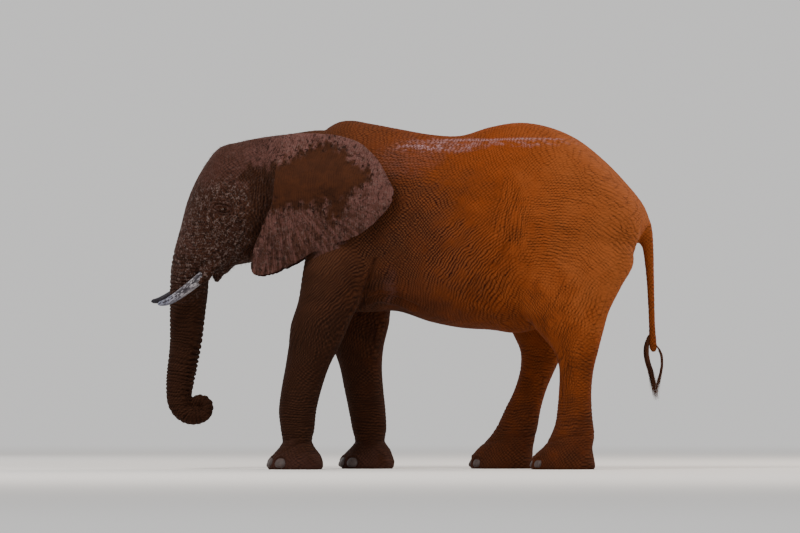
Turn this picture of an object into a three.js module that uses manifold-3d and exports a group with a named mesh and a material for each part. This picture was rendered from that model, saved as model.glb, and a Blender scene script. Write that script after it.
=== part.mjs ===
// African elephant, life size, standing on all four feet, left foreleg and right hind leg forward.
// Millimetres, +Z up. The animal faces -X, its left side faces -Y, and z = 0 is the ground.
import * as THREE from 'three';
import { mergeVertices } from 'three/addons/utils/BufferGeometryUtils.js';
import Module from 'manifold-3d';

const wasm = await Module();
wasm.setup();

// ---------------------------------------------------------------- driving dimensions

const GAP = 0.4; // clear space between neighbouring pieces
const BLOCK = 6000; // side of the blocks that cut the body, larger than the animal
const BREADTH = 900; // off the middle plane, past the widest part of the body
const LEFT = -1;
const RIGHT = 1;
const SIDES = [['left', LEFT], ['right', RIGHT]];
const TRUNK_START = 9; // the section of the head where the trunk's own run begins
const TIP_START = 19; // and the one where the trunk's tip does
const EYE = { x: -1410, y: 334, z: 1995, radius: 24 };

/**
 * One cross section. It stands square to the middle plane and runs from an outer to an inner point [x, z].
 * `half` is half its width, `wide` how far from the inner point its widest place lies, and `outerPower` and
 * `innerPower` how square its two ends are (2 is an ellipse). `y` moves it off the middle plane.
 */
function section(outer, inner, half, { y = 0, wide = 0.5, outerPower = 2, innerPower = 2 } = {}) {
  return [...outer, ...inner, y, half, wide, outerPower, innerPower];
}

// Trunk of the body from breast to tail root: spine point, belly point, half width.
const TORSO = [
  section([-850, 2140], [-775, 1640], 110),
  section([-785, 2400], [-745, 1440], 270, { wide: 0.48 }), // breast
  section([-640, 2600], [-640, 1280], 385, { wide: 0.46, outerPower: 1.9 }), // neck root
  section([-475, 2685], [-475, 1215], 448, { wide: 0.46, outerPower: 1.8 }), // withers
  section([-270, 2661], [-280, 1205], 485, { wide: 0.45, outerPower: 1.8 }), // elbow
  section([-50, 2620], [-70, 1212], 512, { wide: 0.44, outerPower: 1.85 }), // girth
  section([200, 2577], [180, 1132], 546, { wide: 0.42, outerPower: 1.9 }), // ribs
  section([420, 2570], [420, 1084], 562, { wide: 0.42, outerPower: 1.9, innerPower: 2.1 }), // belly
  section([645, 2636], [650, 1068], 552, { wide: 0.44, outerPower: 1.85, innerPower: 2.1 }), // loin
  section([875, 2670], [860, 1044], 532, { wide: 0.48, outerPower: 1.85 }), // flank
  section([1100, 2635], [1060, 1100], 512, { wide: 0.52, outerPower: 1.95 }), // hip
  section([1320, 2539], [1250, 1240], 498, { wide: 0.52, outerPower: 2.1 }),
  section([1523, 2379], [1420, 1400], 468, { wide: 0.5, outerPower: 2.1 }), // rump
  section([1697, 2199], [1610, 1500], 390, { wide: 0.48, outerPower: 2.1 }),
  section([1828, 2031], [1748, 1640], 265, { wide: 0.46 }), // tail root
  section([1878, 1905], [1762, 1728], 110),
];

// Neck, head and trunk as one run: upper and front line, lower and rear line, half width.
const HEAD = [
  section([-420, 2560], [-560, 1500], 320),
  section([-650, 2612], [-790, 1636], 335, { wide: 0.5 }),
  section([-900, 2583], [-990, 1636], 318, { wide: 0.52, outerPower: 2.1 }), // nape
  section([-1115, 2555], [-1175, 1592], 332, { wide: 0.52, outerPower: 2.4 }),
  section([-1280, 2521], [-1270, 1574], 350, { wide: 0.52, outerPower: 2.6 }), // crown
  section([-1442, 2474], [-1318, 1565], 355, { wide: 0.5, outerPower: 2.7 }), // top of the forehead
  section([-1560, 2328], [-1350, 1548], 348, { wide: 0.48, outerPower: 2.6 }),
  section([-1637, 2197], [-1378, 1528], 326, { wide: 0.46, outerPower: 2.4 }), // brow
  section([-1695, 2050], [-1412, 1512], 294, { wide: 0.42, outerPower: 2.2 }),
  section([-1740, 1870], [-1466, 1528], 262, { wide: 0.38, outerPower: 2 }), // tusk sockets
  section([-1785, 1710], [-1504, 1520], 224, { wide: 0.36, outerPower: 2 }),
  section([-1813, 1575], [-1518, 1468], 184, { wide: 0.42 }), // trunk root
  section([-1825, 1400], [-1524, 1375], 160),
  section([-1826, 1180], [-1547, 1180], 145),
  section([-1826, 960], [-1572, 965], 128),
  section([-1851, 720], [-1616, 735], 112),
  section([-1853, 590], [-1645, 604], 102),
  section([-1836, 480], [-1655, 530], 94),
  section([-1786, 400], [-1650, 494], 86),
  section([-1708, 348], [-1612, 468], 78), // bottom of the curl
  section([-1630, 337], [-1603, 464], 74),
  section([-1552, 358], [-1595, 465], 70),
  section([-1500, 404], [-1590, 470], 66),
  section([-1481, 462], [-1588, 478], 62),
  section([-1489, 518], [-1590, 486], 58),
  section([-1530, 564], [-1595, 491], 54),
  section([-1588, 580], [-1602, 492], 50), // trunk tip, which closes the curl
  section([-1633, 569], [-1610, 491], 44),
  section([-1648, 545], [-1622, 493], 34),
];

// Lower jaw and lip: mouth line, chin line, half width.
const JAW = [
  section([-1130, 1880], [-1180, 1600], 150),
  section([-1250, 1830], [-1275, 1578], 190),
  section([-1340, 1760], [-1322, 1562], 170),
  section([-1412, 1660], [-1376, 1508], 122),
  section([-1476, 1586], [-1394, 1498], 96),
  section([-1502, 1514], [-1407, 1494], 72), // lower lip
  section([-1494, 1474], [-1425, 1462], 56),
  section([-1478, 1440], [-1448, 1436], 30),
];

// Tail with its core down into the tuft: rear line, front line, half width.
const TAIL = [
  section([1800, 2075], [1660, 1960], 70),
  section([1850, 1990], [1730, 1830], 62),
  section([1890, 1860], [1798, 1738], 48),
  section([1900, 1720], [1822, 1690], 36),
  section([1904, 1500], [1846, 1500], 29),
  section([1908, 1300], [1860, 1300], 25),
  section([1912, 1120], [1868, 1120], 22),
  section([1912, 985], [1872, 985], 18),
  section([1908, 925], [1880, 925], 10),
];

// The tuft's two locks of hair: rear line, front line, half width.
const FRONT_LOCK = [
  section([1880, 1040], [1866, 1040], 14),
  section([1876, 985], [1842, 985], 22),
  section([1860, 920], [1828, 915], 24),
  section([1872, 840], [1836, 830], 26),
  section([1895, 760], [1860, 745], 26),
  section([1912, 670], [1884, 655], 24),
  section([1922, 590], [1900, 580], 18),
  section([1926, 535], [1914, 535], 8),
];
const REAR_LOCK = [
  section([1916, 1040], [1902, 1040], 14),
  section([1946, 960], [1912, 955], 22),
  section([1974, 880], [1940, 880], 24),
  section([1978, 800], [1944, 800], 26),
  section([1962, 720], [1926, 715], 26),
  section([1944, 640], [1912, 635], 24),
  section([1934, 570], [1908, 570], 18),
  section([1926, 530], [1914, 530], 8),
];

// Nails: how many, the arc they cover (180 degrees points forward), and each one's size.
const FORE_NAILS = { count: 4, from: 122, to: 238, half: 46, height: 40, depth: 24, rise: 50, sunk: 10 };
const HIND_NAILS = { count: 3, from: 144, to: 216, half: 36, height: 38, depth: 22, rise: 48, sunk: 9 };
const NAIL_LEAN = 0.42; // radians that the top of a nail leans back

/** A leg's section: height, front and back, middle off the body's middle plane, and half width. */
function level(z, front, back, y, half, { tilt = 0, ...options } = {}) {
  return section([back, z + tilt], [front, z - tilt], half, { ...options, y });
}

const LEGS = [
  {
    name: 'foreleg_left',
    foot: 'forefoot_left',
    side: LEFT,
    nails: FORE_NAILS,
    sections: [
      level(0, -1050, -655, 300, 168, { outerPower: 2.4, innerPower: 2.3 }),
      level(14, -1067, -640, 300, 180, { outerPower: 2.4, innerPower: 2.3 }),
      level(60, -1060, -638, 300, 182, { outerPower: 2.3, innerPower: 2.2 }),
      level(112, -1028, -655, 300, 172),
      level(160, -985, -692, 302, 152),
      level(210, -955, -718, 304, 134), // wrist crease
      level(300, -966, -703, 306, 134),
      level(450, -981, -687, 310, 142),
      level(620, -961, -646, 314, 150),
      level(790, -930, -588, 318, 158),
      level(950, -906, -506, 322, 168), // elbow
      level(1130, -888, -420, 325, 180, { tilt: 15 }),
      level(1320, -832, -330, 318, 194, { tilt: 25 }),
      level(1540, -800, -262, 300, 205, { tilt: 25 }),
      level(1760, -752, -270, 275, 200, { tilt: 20 }),
      level(1930, -660, -345, 255, 150),
    ],
    cuts: [225, 1010],
  },
  {
    name: 'foreleg_right',
    foot: 'forefoot_right',
    side: RIGHT,
    nails: FORE_NAILS,
    sections: [
      level(0, -492, -112, 300, 168, { outerPower: 2.4, innerPower: 2.3 }),
      level(14, -510, -98, 300, 180, { outerPower: 2.4, innerPower: 2.3 }),
      level(55, -514, -90, 300, 182, { outerPower: 2.3, innerPower: 2.2 }),
      level(102, -494, -105, 300, 172),
      level(150, -448, -122, 302, 152),
      level(208, -402, -163, 304, 134), // wrist crease
      level(300, -422, -152, 306, 134),
      level(450, -450, -158, 310, 142),
      level(620, -485, -176, 314, 150),
      level(790, -520, -186, 318, 158),
      level(950, -580, -172, 322, 168), // elbow
      level(1130, -672, -128, 325, 180, { tilt: 10 }),
      level(1320, -760, -120, 318, 194, { tilt: 15 }),
      level(1540, -790, -160, 300, 205, { tilt: 15 }),
      level(1760, -745, -225, 275, 200, { tilt: 15 }),
      level(1930, -650, -330, 255, 150),
    ],
    cuts: [225, 1010],
  },
  {
    name: 'hindleg_left',
    foot: 'hindfoot_left',
    side: LEFT,
    nails: HIND_NAILS,
    sections: [
      level(0, 962, 1432, 290, 146, { outerPower: 2.3, innerPower: 2.2 }),
      level(14, 950, 1446, 290, 156, { outerPower: 2.3, innerPower: 2.2 }),
      level(75, 960, 1442, 290, 158, { outerPower: 2.2, innerPower: 2.1 }),
      level(125, 990, 1432, 290, 152),
      level(172, 1045, 1428, 290, 142),
      level(262, 1102, 1444, 290, 132), // heel
      level(345, 1134, 1434, 290, 124),
      level(450, 1150, 1424, 290, 118),
      level(600, 1164, 1420, 292, 120),
      level(760, 1166, 1436, 295, 134),
      level(900, 1128, 1470, 298, 156), // knee
      level(1040, 1030, 1512, 300, 182, { tilt: 20 }),
      level(1200, 900, 1560, 298, 208, { tilt: 20 }),
      level(1390, 810, 1650, 288, 226, { tilt: 10 }),
      level(1590, 810, 1746, 270, 222),
      level(1790, 900, 1690, 245, 205),
      level(1960, 1040, 1520, 220, 150),
    ],
    cuts: [240, 930],
  },
  {
    name: 'hindleg_right',
    foot: 'hindfoot_right',
    side: RIGHT,
    nails: HIND_NAILS,
    sections: [
      level(0, 505, 965, 290, 146, { outerPower: 2.3, innerPower: 2.2 }),
      level(14, 492, 978, 290, 156, { outerPower: 2.3, innerPower: 2.2 }),
      level(70, 496, 980, 290, 158, { outerPower: 2.2, innerPower: 2.1 }),
      level(118, 516, 980, 290, 152),
      level(172, 566, 984, 290, 142),
      level(245, 640, 1000, 290, 132), // heel
      level(345, 706, 1022, 290, 124),
      level(450, 754, 1040, 290, 118),
      level(600, 828, 1082, 292, 120),
      level(760, 876, 1150, 295, 134),
      level(900, 880, 1220, 298, 156), // knee
      level(1040, 830, 1310, 300, 182, { tilt: 20 }),
      level(1200, 750, 1440, 298, 208, { tilt: 20 }),
      level(1390, 720, 1605, 288, 226, { tilt: 10 }),
      level(1590, 770, 1736, 270, 222),
      level(1790, 880, 1690, 245, 205),
      level(1960, 1030, 1520, 220, 150),
    ],
    cuts: [240, 930],
  },
];

// Tusk: its centre line from root to tip, with the radius there; `along` runs from 0 at the root to 1.
const TUSK_LINE = [
  { along: 0, x: -1395, z: 1655, y: 172, radius: 27 },
  { along: 0.3, x: -1520, z: 1528, y: 196, radius: 37 },
  { along: 0.5, x: -1630, z: 1427, y: 218, radius: 39 },
  { along: 0.72, x: -1745, z: 1339, y: 236, radius: 35 },
  { along: 0.9, x: -1840, z: 1282, y: 244, radius: 27 },
  { along: 1, x: -1908, z: 1266, y: 246, radius: 15 },
];
// The sheath of flesh that wraps a tusk as far as its lip, in the same terms.
const SHEATH_LINE = [
  { along: 0, x: -1395, z: 1655, y: 150, radius: 58 },
  { along: 0.2, x: -1478, z: 1572, y: 172, radius: 61 },
  { along: 0.32, x: -1532, z: 1518, y: 190, radius: 56 },
  { along: 0.37, x: -1560, z: 1491, y: 199, radius: 47 }, // lip
];
// The right tusk reaches further forward and up than the left one.
const TUSKS = [
  { name: 'tusk_left', side: LEFT, longer: 0, raised: 0 },
  { name: 'tusk_right', side: RIGHT, longer: 66, raised: 25 },
];

// Ear: its free edge from the top of the root round to the foot of the root, and the root itself [x, z].
const EAR = {
  rim: [
    [-955, 2552], [-905, 2576], [-760, 2586], [-610, 2578], [-470, 2548], [-330, 2486], [-215, 2366],
    [-140, 2232], [-92, 2120], [-118, 2020], [-195, 1915], [-300, 1812], [-420, 1742], [-560, 1702],
    [-700, 1646], [-830, 1568], [-990, 1508], [-1112, 1482], [-1186, 1502], [-1196, 1594], [-1160, 1730],
    [-1090, 1870], [-1035, 2020],
  ],
  root: [[-975, 2540], [-985, 2440], [-1000, 2320], [-1015, 2180], [-1025, 2060]],
  rays: 16,
  bands: 3,
  rootThickness: 46,
  rimThickness: 17,
  rootOut: 352, // off the middle plane at the root
  spread: 235, // further out at the rear edge
  lean: 165, // how far the top leans in over the neck
  tuck: 40, // how far the lower lobe tucks in
  depth: 200, // how deep the root runs into the head
};

// Cuts through the middle plane [x, z] between one part of the body and the next.
const NECK_CUT = [[-800, 1480], [-610, 2620]];
const HEAD_CUT = [[-1150, 1500], [-1000, 2620]];
const TRUNK_CUT = [[-1490, 1430], [-1818, 1568]];
const MOUTH_CUT = [[-1180, 1705], [-1512, 1462]];
const LIP_CUT = [[-1502, 1520], [-1502, 1420]];
const TRUNK_LENGTHS = [1180, 760];
const TAIL_CUT = [[1925, 1868], [1788, 1752]];
const TAIL_SPACE = [[1786, 1900], [1786, 800]];

// ---------------------------------------------------------------- materials

const HIDE = { color: 0x5f5652, roughness: 0.92 };
const IVORY = { color: 0xb9b4b2, roughness: 0.45 };
const NAIL = { color: 0x8b7e79, roughness: 0.6 };
const EYE_LENS = { color: 0x2a1a10, roughness: 0.08 };
const TAIL_HAIR = { color: 0x17120f, roughness: 0.7 };

// ---------------------------------------------------------------- shaping

/** Slopes of each channel at each knot, from its two neighbours, so that the run passes smoothly. */
function slopesOf(rows, knots) {
  return rows.map((row, i) => {
    const before = Math.max(i - 1, 0);
    const after = Math.min(i + 1, rows.length - 1);
    return row.map((_, c) => (rows[after][c] - rows[before][c]) / (knots[after] - knots[before]));
  });
}

/** Sections about `spacing` apart, eased through the given ones. */
function eased(rows, spacing) {
  const middle = (r) => [(r[0] + r[2]) / 2, (r[1] + r[3]) / 2, r[4]];
  const knots = [0];
  for (let i = 1; i < rows.length; i += 1) {
    const a = middle(rows[i - 1]);
    const b = middle(rows[i]);
    knots.push(knots[i - 1] + Math.hypot(b[0] - a[0], b[1] - a[1], b[2] - a[2]));
  }
  const slopes = slopesOf(rows, knots);
  const result = [];
  for (let i = 0; i + 1 < rows.length; i += 1) {
    const span = knots[i + 1] - knots[i];
    const steps = Math.max(1, Math.round(span / spacing));
    for (let k = 0; k < steps; k += 1) {
      const t = k / steps;
      const t2 = t * t;
      const t3 = t2 * t;
      result.push(rows[i].map((value, c) => (
        (2 * t3 - 3 * t2 + 1) * value
        + (t3 - 2 * t2 + t) * span * slopes[i][c]
        + (3 * t2 - 2 * t3) * rows[i + 1][c]
        + (t3 - t2) * span * slopes[i + 1][c]
      )));
    }
  }
  result.push(rows.at(-1));
  return result;
}

/** Points round one section, `grow` outside it. */
function ringOf(row, around, grow = 0) {
  const [outerX, outerZ, innerX, innerZ, y, half, wide, outerPower, innerPower] = row;
  const length = Math.hypot(outerX - innerX, outerZ - innerZ);
  const up = [(outerX - innerX) / length, (outerZ - innerZ) / length];
  const centre = [innerX + up[0] * length * wide, innerZ + up[1] * length * wide];
  const points = [];
  for (let k = 0; k < around; k += 1) {
    const angle = (2 * Math.PI * k) / around;
    const c = Math.cos(angle);
    const s = Math.sin(angle);
    const power = 2 / (c > 0 ? outerPower : innerPower);
    const reach = (c > 0 ? length * (1 - wide) : length * wide) + grow;
    const along = Math.sign(c) * Math.abs(c) ** power * reach;
    const across = Math.sign(s) * Math.abs(s) ** power * (half + grow);
    points.push(new THREE.Vector3(centre[0] + up[0] * along, y + across, centre[1] + up[1] * along));
  }
  return points;
}

/** One closed surface over a run of rings of equal length, with a flat fan over each end. */
function skinned(rings) {
  const around = rings[0].length;
  const points = rings.flat();
  const faces = [];
  for (let i = 0; i + 1 < rings.length; i += 1) {
    for (let k = 0; k < around; k += 1) {
      const next = (k + 1) % around;
      const a = i * around + k;
      const b = i * around + next;
      faces.push(a, a + around, b, b, a + around, b + around);
    }
  }
  for (const end of [0, rings.length - 1]) {
    const middle = points.length;
    points.push(rings[end].reduce((sum, p) => sum.add(p), new THREE.Vector3()).divideScalar(around));
    for (let k = 0; k < around; k += 1) {
      const a = end * around + k;
      const b = end * around + ((k + 1) % around);
      faces.push(middle, ...(end === 0 ? [a, b] : [b, a]));
    }
  }
  return outward(points, faces);
}

/** A geometry from points and faces, turned so that its faces point out. */
function outward(points, faces) {
  let volume = 0;
  for (let i = 0; i < faces.length; i += 3) {
    const [a, b, c] = [points[faces[i]], points[faces[i + 1]], points[faces[i + 2]]];
    volume += a.dot(new THREE.Vector3().crossVectors(b, c));
  }
  const turned = [];
  for (let i = 0; i < faces.length; i += 3) {
    turned.push(faces[i], ...(volume > 0 ? [faces[i + 1], faces[i + 2]] : [faces[i + 2], faces[i + 1]]));
  }
  const geometry = new THREE.BufferGeometry();
  geometry.setAttribute('position', new THREE.Float32BufferAttribute(points.flatMap((p) => p.toArray()), 3));
  geometry.setIndex(turned);
  return geometry;
}

/** A push of the surface towards or away from a place, soft at its edge. Mirrored pieces share it. */
function reliefAt(point, bumps) {
  let push = 0;
  for (const { at, radius, height } of bumps) {
    const dx = (point.x - at[0]) / radius[0];
    const dy = (Math.abs(point.y) - at[1]) / radius[1];
    const dz = (point.z - at[2]) / radius[2];
    push += height * Math.exp(-(dx * dx + dy * dy + dz * dz));
  }
  return push;
}

/** The rings of some sections, pushed out from each section's middle by the bumps. */
function ringsOf(rows, around, { grow = 0, bumps = [] } = {}) {
  return rows.map((row) => {
    const ring = ringOf(row, around, grow);
    const centre = ring.reduce((sum, p) => sum.add(p), new THREE.Vector3()).divideScalar(around);
    for (const point of ring) {
      const out = point.clone().sub(centre).normalize();
      point.addScaledVector(out, reliefAt(point, bumps));
    }
    return ring;
  });
}

function loft(rows, spacing, around, options) {
  return skinned(ringsOf(eased(rows, spacing), around, options));
}

function mirrored(rows, side) {
  return rows.map((row) => row.with(4, row[4] * side));
}

// ---------------------------------------------------------------- joining and cutting

function solid(geometry) {
  const bare = geometry.clone();
  bare.deleteAttribute('normal');
  bare.deleteAttribute('uv');
  const merged = mergeVertices(bare, 1e-3);
  const mesh = new wasm.Mesh({
    numProp: 3,
    vertProperties: new Float32Array(merged.attributes.position.array),
    triVerts: new Uint32Array(merged.index.array),
  });
  return new wasm.Manifold(mesh);
}

function geometryOf(piece) {
  const { vertProperties, triVerts } = piece.getMesh();
  const geometry = new THREE.BufferGeometry();
  geometry.setAttribute('position', new THREE.Float32BufferAttribute(vertProperties, 3));
  geometry.setIndex(new THREE.Uint32BufferAttribute(triVerts, 1));
  return geometry;
}

/** A block whose one face passes through a and b [x, z] and which fills the side to the left of a to b. */
function halfSpace(a, b, back) {
  const direction = new THREE.Vector2(b[0] - a[0], b[1] - a[1]).normalize();
  const normal = new THREE.Vector2(-direction.y, direction.x);
  const block = new THREE.BoxGeometry(BLOCK, BLOCK, BLOCK);
  block.rotateY(-Math.atan2(direction.y, direction.x));
  const shift = BLOCK / 2 + back;
  block.translate((a[0] + b[0]) / 2 + normal.x * shift, 0, (a[1] + b[1]) / 2 + normal.y * shift);
  return solid(block);
}

/** The two sides of a thin cut through a and b: first the left of a to b, then the right. */
function parted(piece, a, b) {
  return [piece.intersect(halfSpace(a, b, GAP / 2)), piece.intersect(halfSpace(b, a, GAP / 2))];
}

/** The part of a piece left of both lines, and the rest, with a thin cut between them. */
function notched(piece, first, second) {
  const corner = (back) => halfSpace(...first, back).intersect(halfSpace(...second, back));
  return [piece.intersect(corner(GAP / 2)), piece.subtract(corner(-GAP / 2))];
}

/** A prism over an outline in the side view; its inner face leans away from the middle plane with height. */
function prism(outline, side, inner, grow) {
  const shape = new THREE.Shape(outline.map(([x, z]) => new THREE.Vector2(x, z)));
  const block = new THREE.ExtrudeGeometry(shape, { depth: 1, bevelEnabled: false });
  const position = block.attributes.position;
  for (let i = 0; i < position.count; i += 1) {
    const [x, z, far] = [position.getX(i), position.getY(i), position.getZ(i)];
    const reach = far > 0.5 ? BREADTH : inner(z) - grow;
    position.setXYZ(i, x, side * reach, z);
  }
  const indices = [...Array(position.count).keys()];
  const points = indices.map((i) => new THREE.Vector3().fromBufferAttribute(position, i));
  return solid(outward(points, block.index ? [...block.index.array] : indices));
}

// ---------------------------------------------------------------- relief of bone and muscle

const HEAD_BUMPS = [
  { at: [-1275, 330, 2250], radius: [120, 160, 150], height: -42 }, // temple hollow
  { at: [-1455, 300, 2090], radius: [80, 120, 60], height: 14 }, // brow
  { at: [-1420, 310, 1990], radius: [62, 110, 52], height: -16 }, // eye socket
  { at: [-1300, 340, 1930], radius: [120, 120, 80], height: 18 }, // cheek bone
  { at: [-1560, 235, 1640], radius: [95, 90, 110], height: 26 }, // tusk sheath
  { at: [-1500, 210, 2330], radius: [90, 120, 120], height: 12 }, // forehead dome
];
const TORSO_BUMPS = [
  { at: [-470, 400, 2240], radius: [150, 250, 330], height: 26 }, // shoulder blade
  { at: [900, 330, 2430], radius: [170, 200, 140], height: 34 }, // hip bone
  { at: [760, 520, 2060], radius: [200, 260, 240], height: -34 }, // flank hollow
];
// Places where legs, neck and jaw run into the body without an edge.
const EASED_ZONES = [
  { at: [-480, 420, 1720], radius: [330, 260, 330], height: 1.4 }, // shoulder
  { at: [1260, 400, 1760], radius: [460, 260, 380], height: 1.4 }, // hip and thigh
  { at: [-700, 220, 2180], radius: [170, 400, 330], height: 1.2 }, // neck root
];

// ---------------------------------------------------------------- ears, eyes, tusks, nails

function easeBetween(low, high, value) {
  const t = THREE.MathUtils.clamp((value - low) / (high - low), 0, 1);
  return t * t * (3 - 2 * t);
}

/** How far the middle of the ear stands off the middle plane at a place in the side view. */
function earOut(x, z) {
  const back = THREE.MathUtils.clamp((x + 1190) / 1100, 0, 1);
  const lean = EAR.lean * easeBetween(2180, 2620, z);
  const tuck = EAR.tuck * easeBetween(1760, 1500, z);
  return EAR.rootOut + EAR.spread * back ** 0.85 - lean - tuck;
}

function ear(side) {
  const curve = (points) => new THREE.CatmullRomCurve3(points.map(([x, z]) => new THREE.Vector3(x, 0, z)));
  const rim = curve(EAR.rim);
  const root = curve(EAR.root);
  const rings = [];
  for (let ray = 0; ray <= EAR.rays; ray += 1) {
    const u = ray / EAR.rays;
    const from = root.getPointAt(u);
    const to = rim.getPoint(u);
    const heading = to.clone().sub(from).normalize();
    const line = [from.clone().setY(earOut(from.x, from.z) - EAR.depth)];
    for (let band = 0; band <= EAR.bands; band += 1) {
      const point = from.clone().lerp(to, band / EAR.bands);
      line.push(point.setY(earOut(point.x, point.z)));
    }
    const faces = [[], []];
    line.forEach((point, i) => {
      const run = line[Math.min(i + 1, line.length - 1)].clone().sub(line[Math.max(i - 1, 0)]);
      const normal = new THREE.Vector2(-run.y, run.dot(heading)).normalize();
      const share = Math.max(i - 1, 0) / EAR.bands;
      const half = THREE.MathUtils.lerp(EAR.rootThickness, EAR.rimThickness, share) / 2;
      [1, -1].forEach((face, f) => {
        const moved = point.clone().addScaledVector(heading, normal.x * half * face);
        moved.y += normal.y * half * face;
        moved.y *= side;
        faces[f].push(moved);
      });
    });
    rings.push([...faces[0], ...faces[1].reverse()]);
  }
  return solid(skinned(rings));
}

function ball(centre, radius) {
  const sphere = new THREE.SphereGeometry(radius, 8, 5);
  sphere.translate(...centre);
  return solid(sphere);
}

/** A round run along a line on one side of the head: a tusk, or the sheath it stands in. */
function tusk(line, { side, longer, raised }, grow) {
  const rows = line.map(({ along, x, z, y, radius }, i) => {
    const before = line[Math.max(i - 1, 0)];
    const after = line[Math.min(i + 1, line.length - 1)];
    const run = new THREE.Vector2(after.x - before.x, after.z - before.z).normalize();
    const [midX, midZ] = [x - longer * along, z + raised * along];
    const upper = [midX + run.y * radius, midZ - run.x * radius];
    const lower = [midX - run.y * radius, midZ + run.x * radius];
    return section(upper, lower, radius, { y: y * side });
  });
  return solid(loft(rows, 120, 8, { grow }));
}

/** A nail plate seated in the foot's front, `angle` degrees round from the heel. */
function nail(leg, angle, grow) {
  const { half, height, depth, rise, sunk } = leg.nails;
  const outline = ringOf(mirrored(leg.sections, leg.side)[2], 360);
  const at = outline[Math.round(angle)];
  const tangent = outline[Math.round(angle) + 4].clone().sub(outline[Math.round(angle) - 4]);
  const facing = Math.atan2(tangent.x, -tangent.y);
  const plate = new THREE.SphereGeometry(1, 6, 3);
  plate.scale(depth + grow, half + grow, height + grow);
  plate.rotateY(-NAIL_LEAN);
  plate.rotateZ(facing + Math.PI);
  plate.translate(at.x + Math.cos(facing) * sunk, at.y + Math.sin(facing) * sunk, rise);
  return solid(plate);
}

// ---------------------------------------------------------------- flesh

const BELLY = 1035; // just under the lowest point of the belly
const CLEAR = 60; // room round a leg where it stands clear of the body
const BODY_AROUND = 18;
const HEAD_AROUND = 18;
const TRUNK_AROUND = 12;
const LEG_AROUND = 12;

const parts = new THREE.Group();

function place(name, piece, { color, roughness }) {
  const material = new THREE.MeshStandardMaterial({ color, roughness, metalness: 0 });
  const mesh = new THREE.Mesh(geometryOf(piece), material);
  mesh.name = name;
  parts.add(mesh);
}

function joined(pieces) {
  return pieces.reduce((sum, piece) => sum.add(piece));
}

function cleared(piece, neighbours) {
  return neighbours.reduce((rest, neighbour) => rest.subtract(neighbour), piece);
}

const torsoShape = (grow) => solid(loft(TORSO, 190, BODY_AROUND, { bumps: TORSO_BUMPS, grow }));
const headRun = HEAD.slice(0, TRUNK_START + 5);
const headShape = (grow) => solid(loft(headRun, 130, HEAD_AROUND, { bumps: HEAD_BUMPS, grow }));
const tailShape = (grow) => solid(loft(TAIL, 220, 6, { grow }));

/** The piece with its surface eased towards its neighbours' mean inside the zones, where shapes meet. */
function relaxed(piece, zones, passes) {
  const { vertProperties, triVerts } = piece.getMesh();
  const count = vertProperties.length / 3;
  const near = Array.from({ length: count }, () => new Set());
  for (let i = 0; i < triVerts.length; i += 3) {
    const [a, b, c] = triVerts.subarray(i, i + 3);
    near[a].add(b).add(c);
    near[b].add(c).add(a);
    near[c].add(a).add(b);
  }
  let points = Array.from({ length: count }, (_, i) => new THREE.Vector3().fromArray(vertProperties, 3 * i));
  for (let pass = 0; pass < passes; pass += 1) {
    points = points.map((point, i) => {
      const weight = Math.min(1, reliefAt(point, zones));
      const mean = [...near[i]].reduce((sum, k) => sum.add(points[k]), new THREE.Vector3());
      return point.clone().lerp(mean.divideScalar(near[i].size), 0.5 * weight);
    });
  }
  const mesh = new wasm.Mesh({
    numProp: 3,
    vertProperties: new Float32Array(points.flatMap((p) => p.toArray())),
    triVerts,
  });
  return new wasm.Manifold(mesh);
}

const limbs = LEGS.map((leg) => solid(loft(mirrored(leg.sections, leg.side), 400, LEG_AROUND)));
const sheaths = TUSKS.map((one) => tusk(SHEATH_LINE, one, 0));
const jawShape = solid(loft(JAW, 120, 10));
let flesh = joined([torsoShape(0), headShape(0), jawShape, ...sheaths, tailShape(0), ...limbs]);
flesh = relaxed(flesh, EASED_ZONES, 4);

const ears = SIDES.map(([, side]) => cleared(ear(side), [torsoShape(GAP), headShape(GAP)]));
const eyes = SIDES.map(([, side]) => [EYE.x, side * EYE.y, EYE.z]);
const tuskSockets = TUSKS.map((one) => tusk(TUSK_LINE, one, GAP));
flesh = cleared(flesh, [...eyes.map((centre) => ball(centre, EYE.radius + GAP)), ...tuskSockets]);

/** The outline in the side view that a leg keeps: its own sections above the belly, a box below it. */
function legOutline(leg, grow) {
  const front = leg.sections.map(([, , x, z]) => [x - grow, z]);
  const back = leg.sections.map(([x, z]) => [x + grow, z]);
  const ahead = Math.min(...front.map(([x]) => x)) - CLEAR;
  const behind = Math.max(...back.filter(([, z]) => z < BELLY + CLEAR).map(([x]) => x)) + CLEAR;
  const top = grow + front.at(-1)[1];
  const risingFront = front.filter(([, z]) => z > BELLY && z < top - grow).concat([[front.at(-1)[0], top]]);
  const risingBack = back.filter(([, z]) => z > BELLY && z < top - grow).concat([[back.at(-1)[0], top]]);
  const lowFront = [[ahead, -CLEAR], [ahead, BELLY]];
  const lowBack = [[behind, BELLY], [behind, -CLEAR]];
  return [...lowFront, ...risingFront, ...risingBack.reverse(), ...lowBack];
}

// The face between a leg and the body, off the middle plane.
const innerFace = (z) => 60 + 0.08 * z;
const legPieces = LEGS.map((leg) => {
  const piece = flesh.intersect(prism(legOutline(leg, 0), leg.side, innerFace, 0));
  flesh = flesh.subtract(prism(legOutline(leg, GAP), leg.side, innerFace, GAP));
  return piece;
});

// ---------------------------------------------------------------- the named pieces

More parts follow.
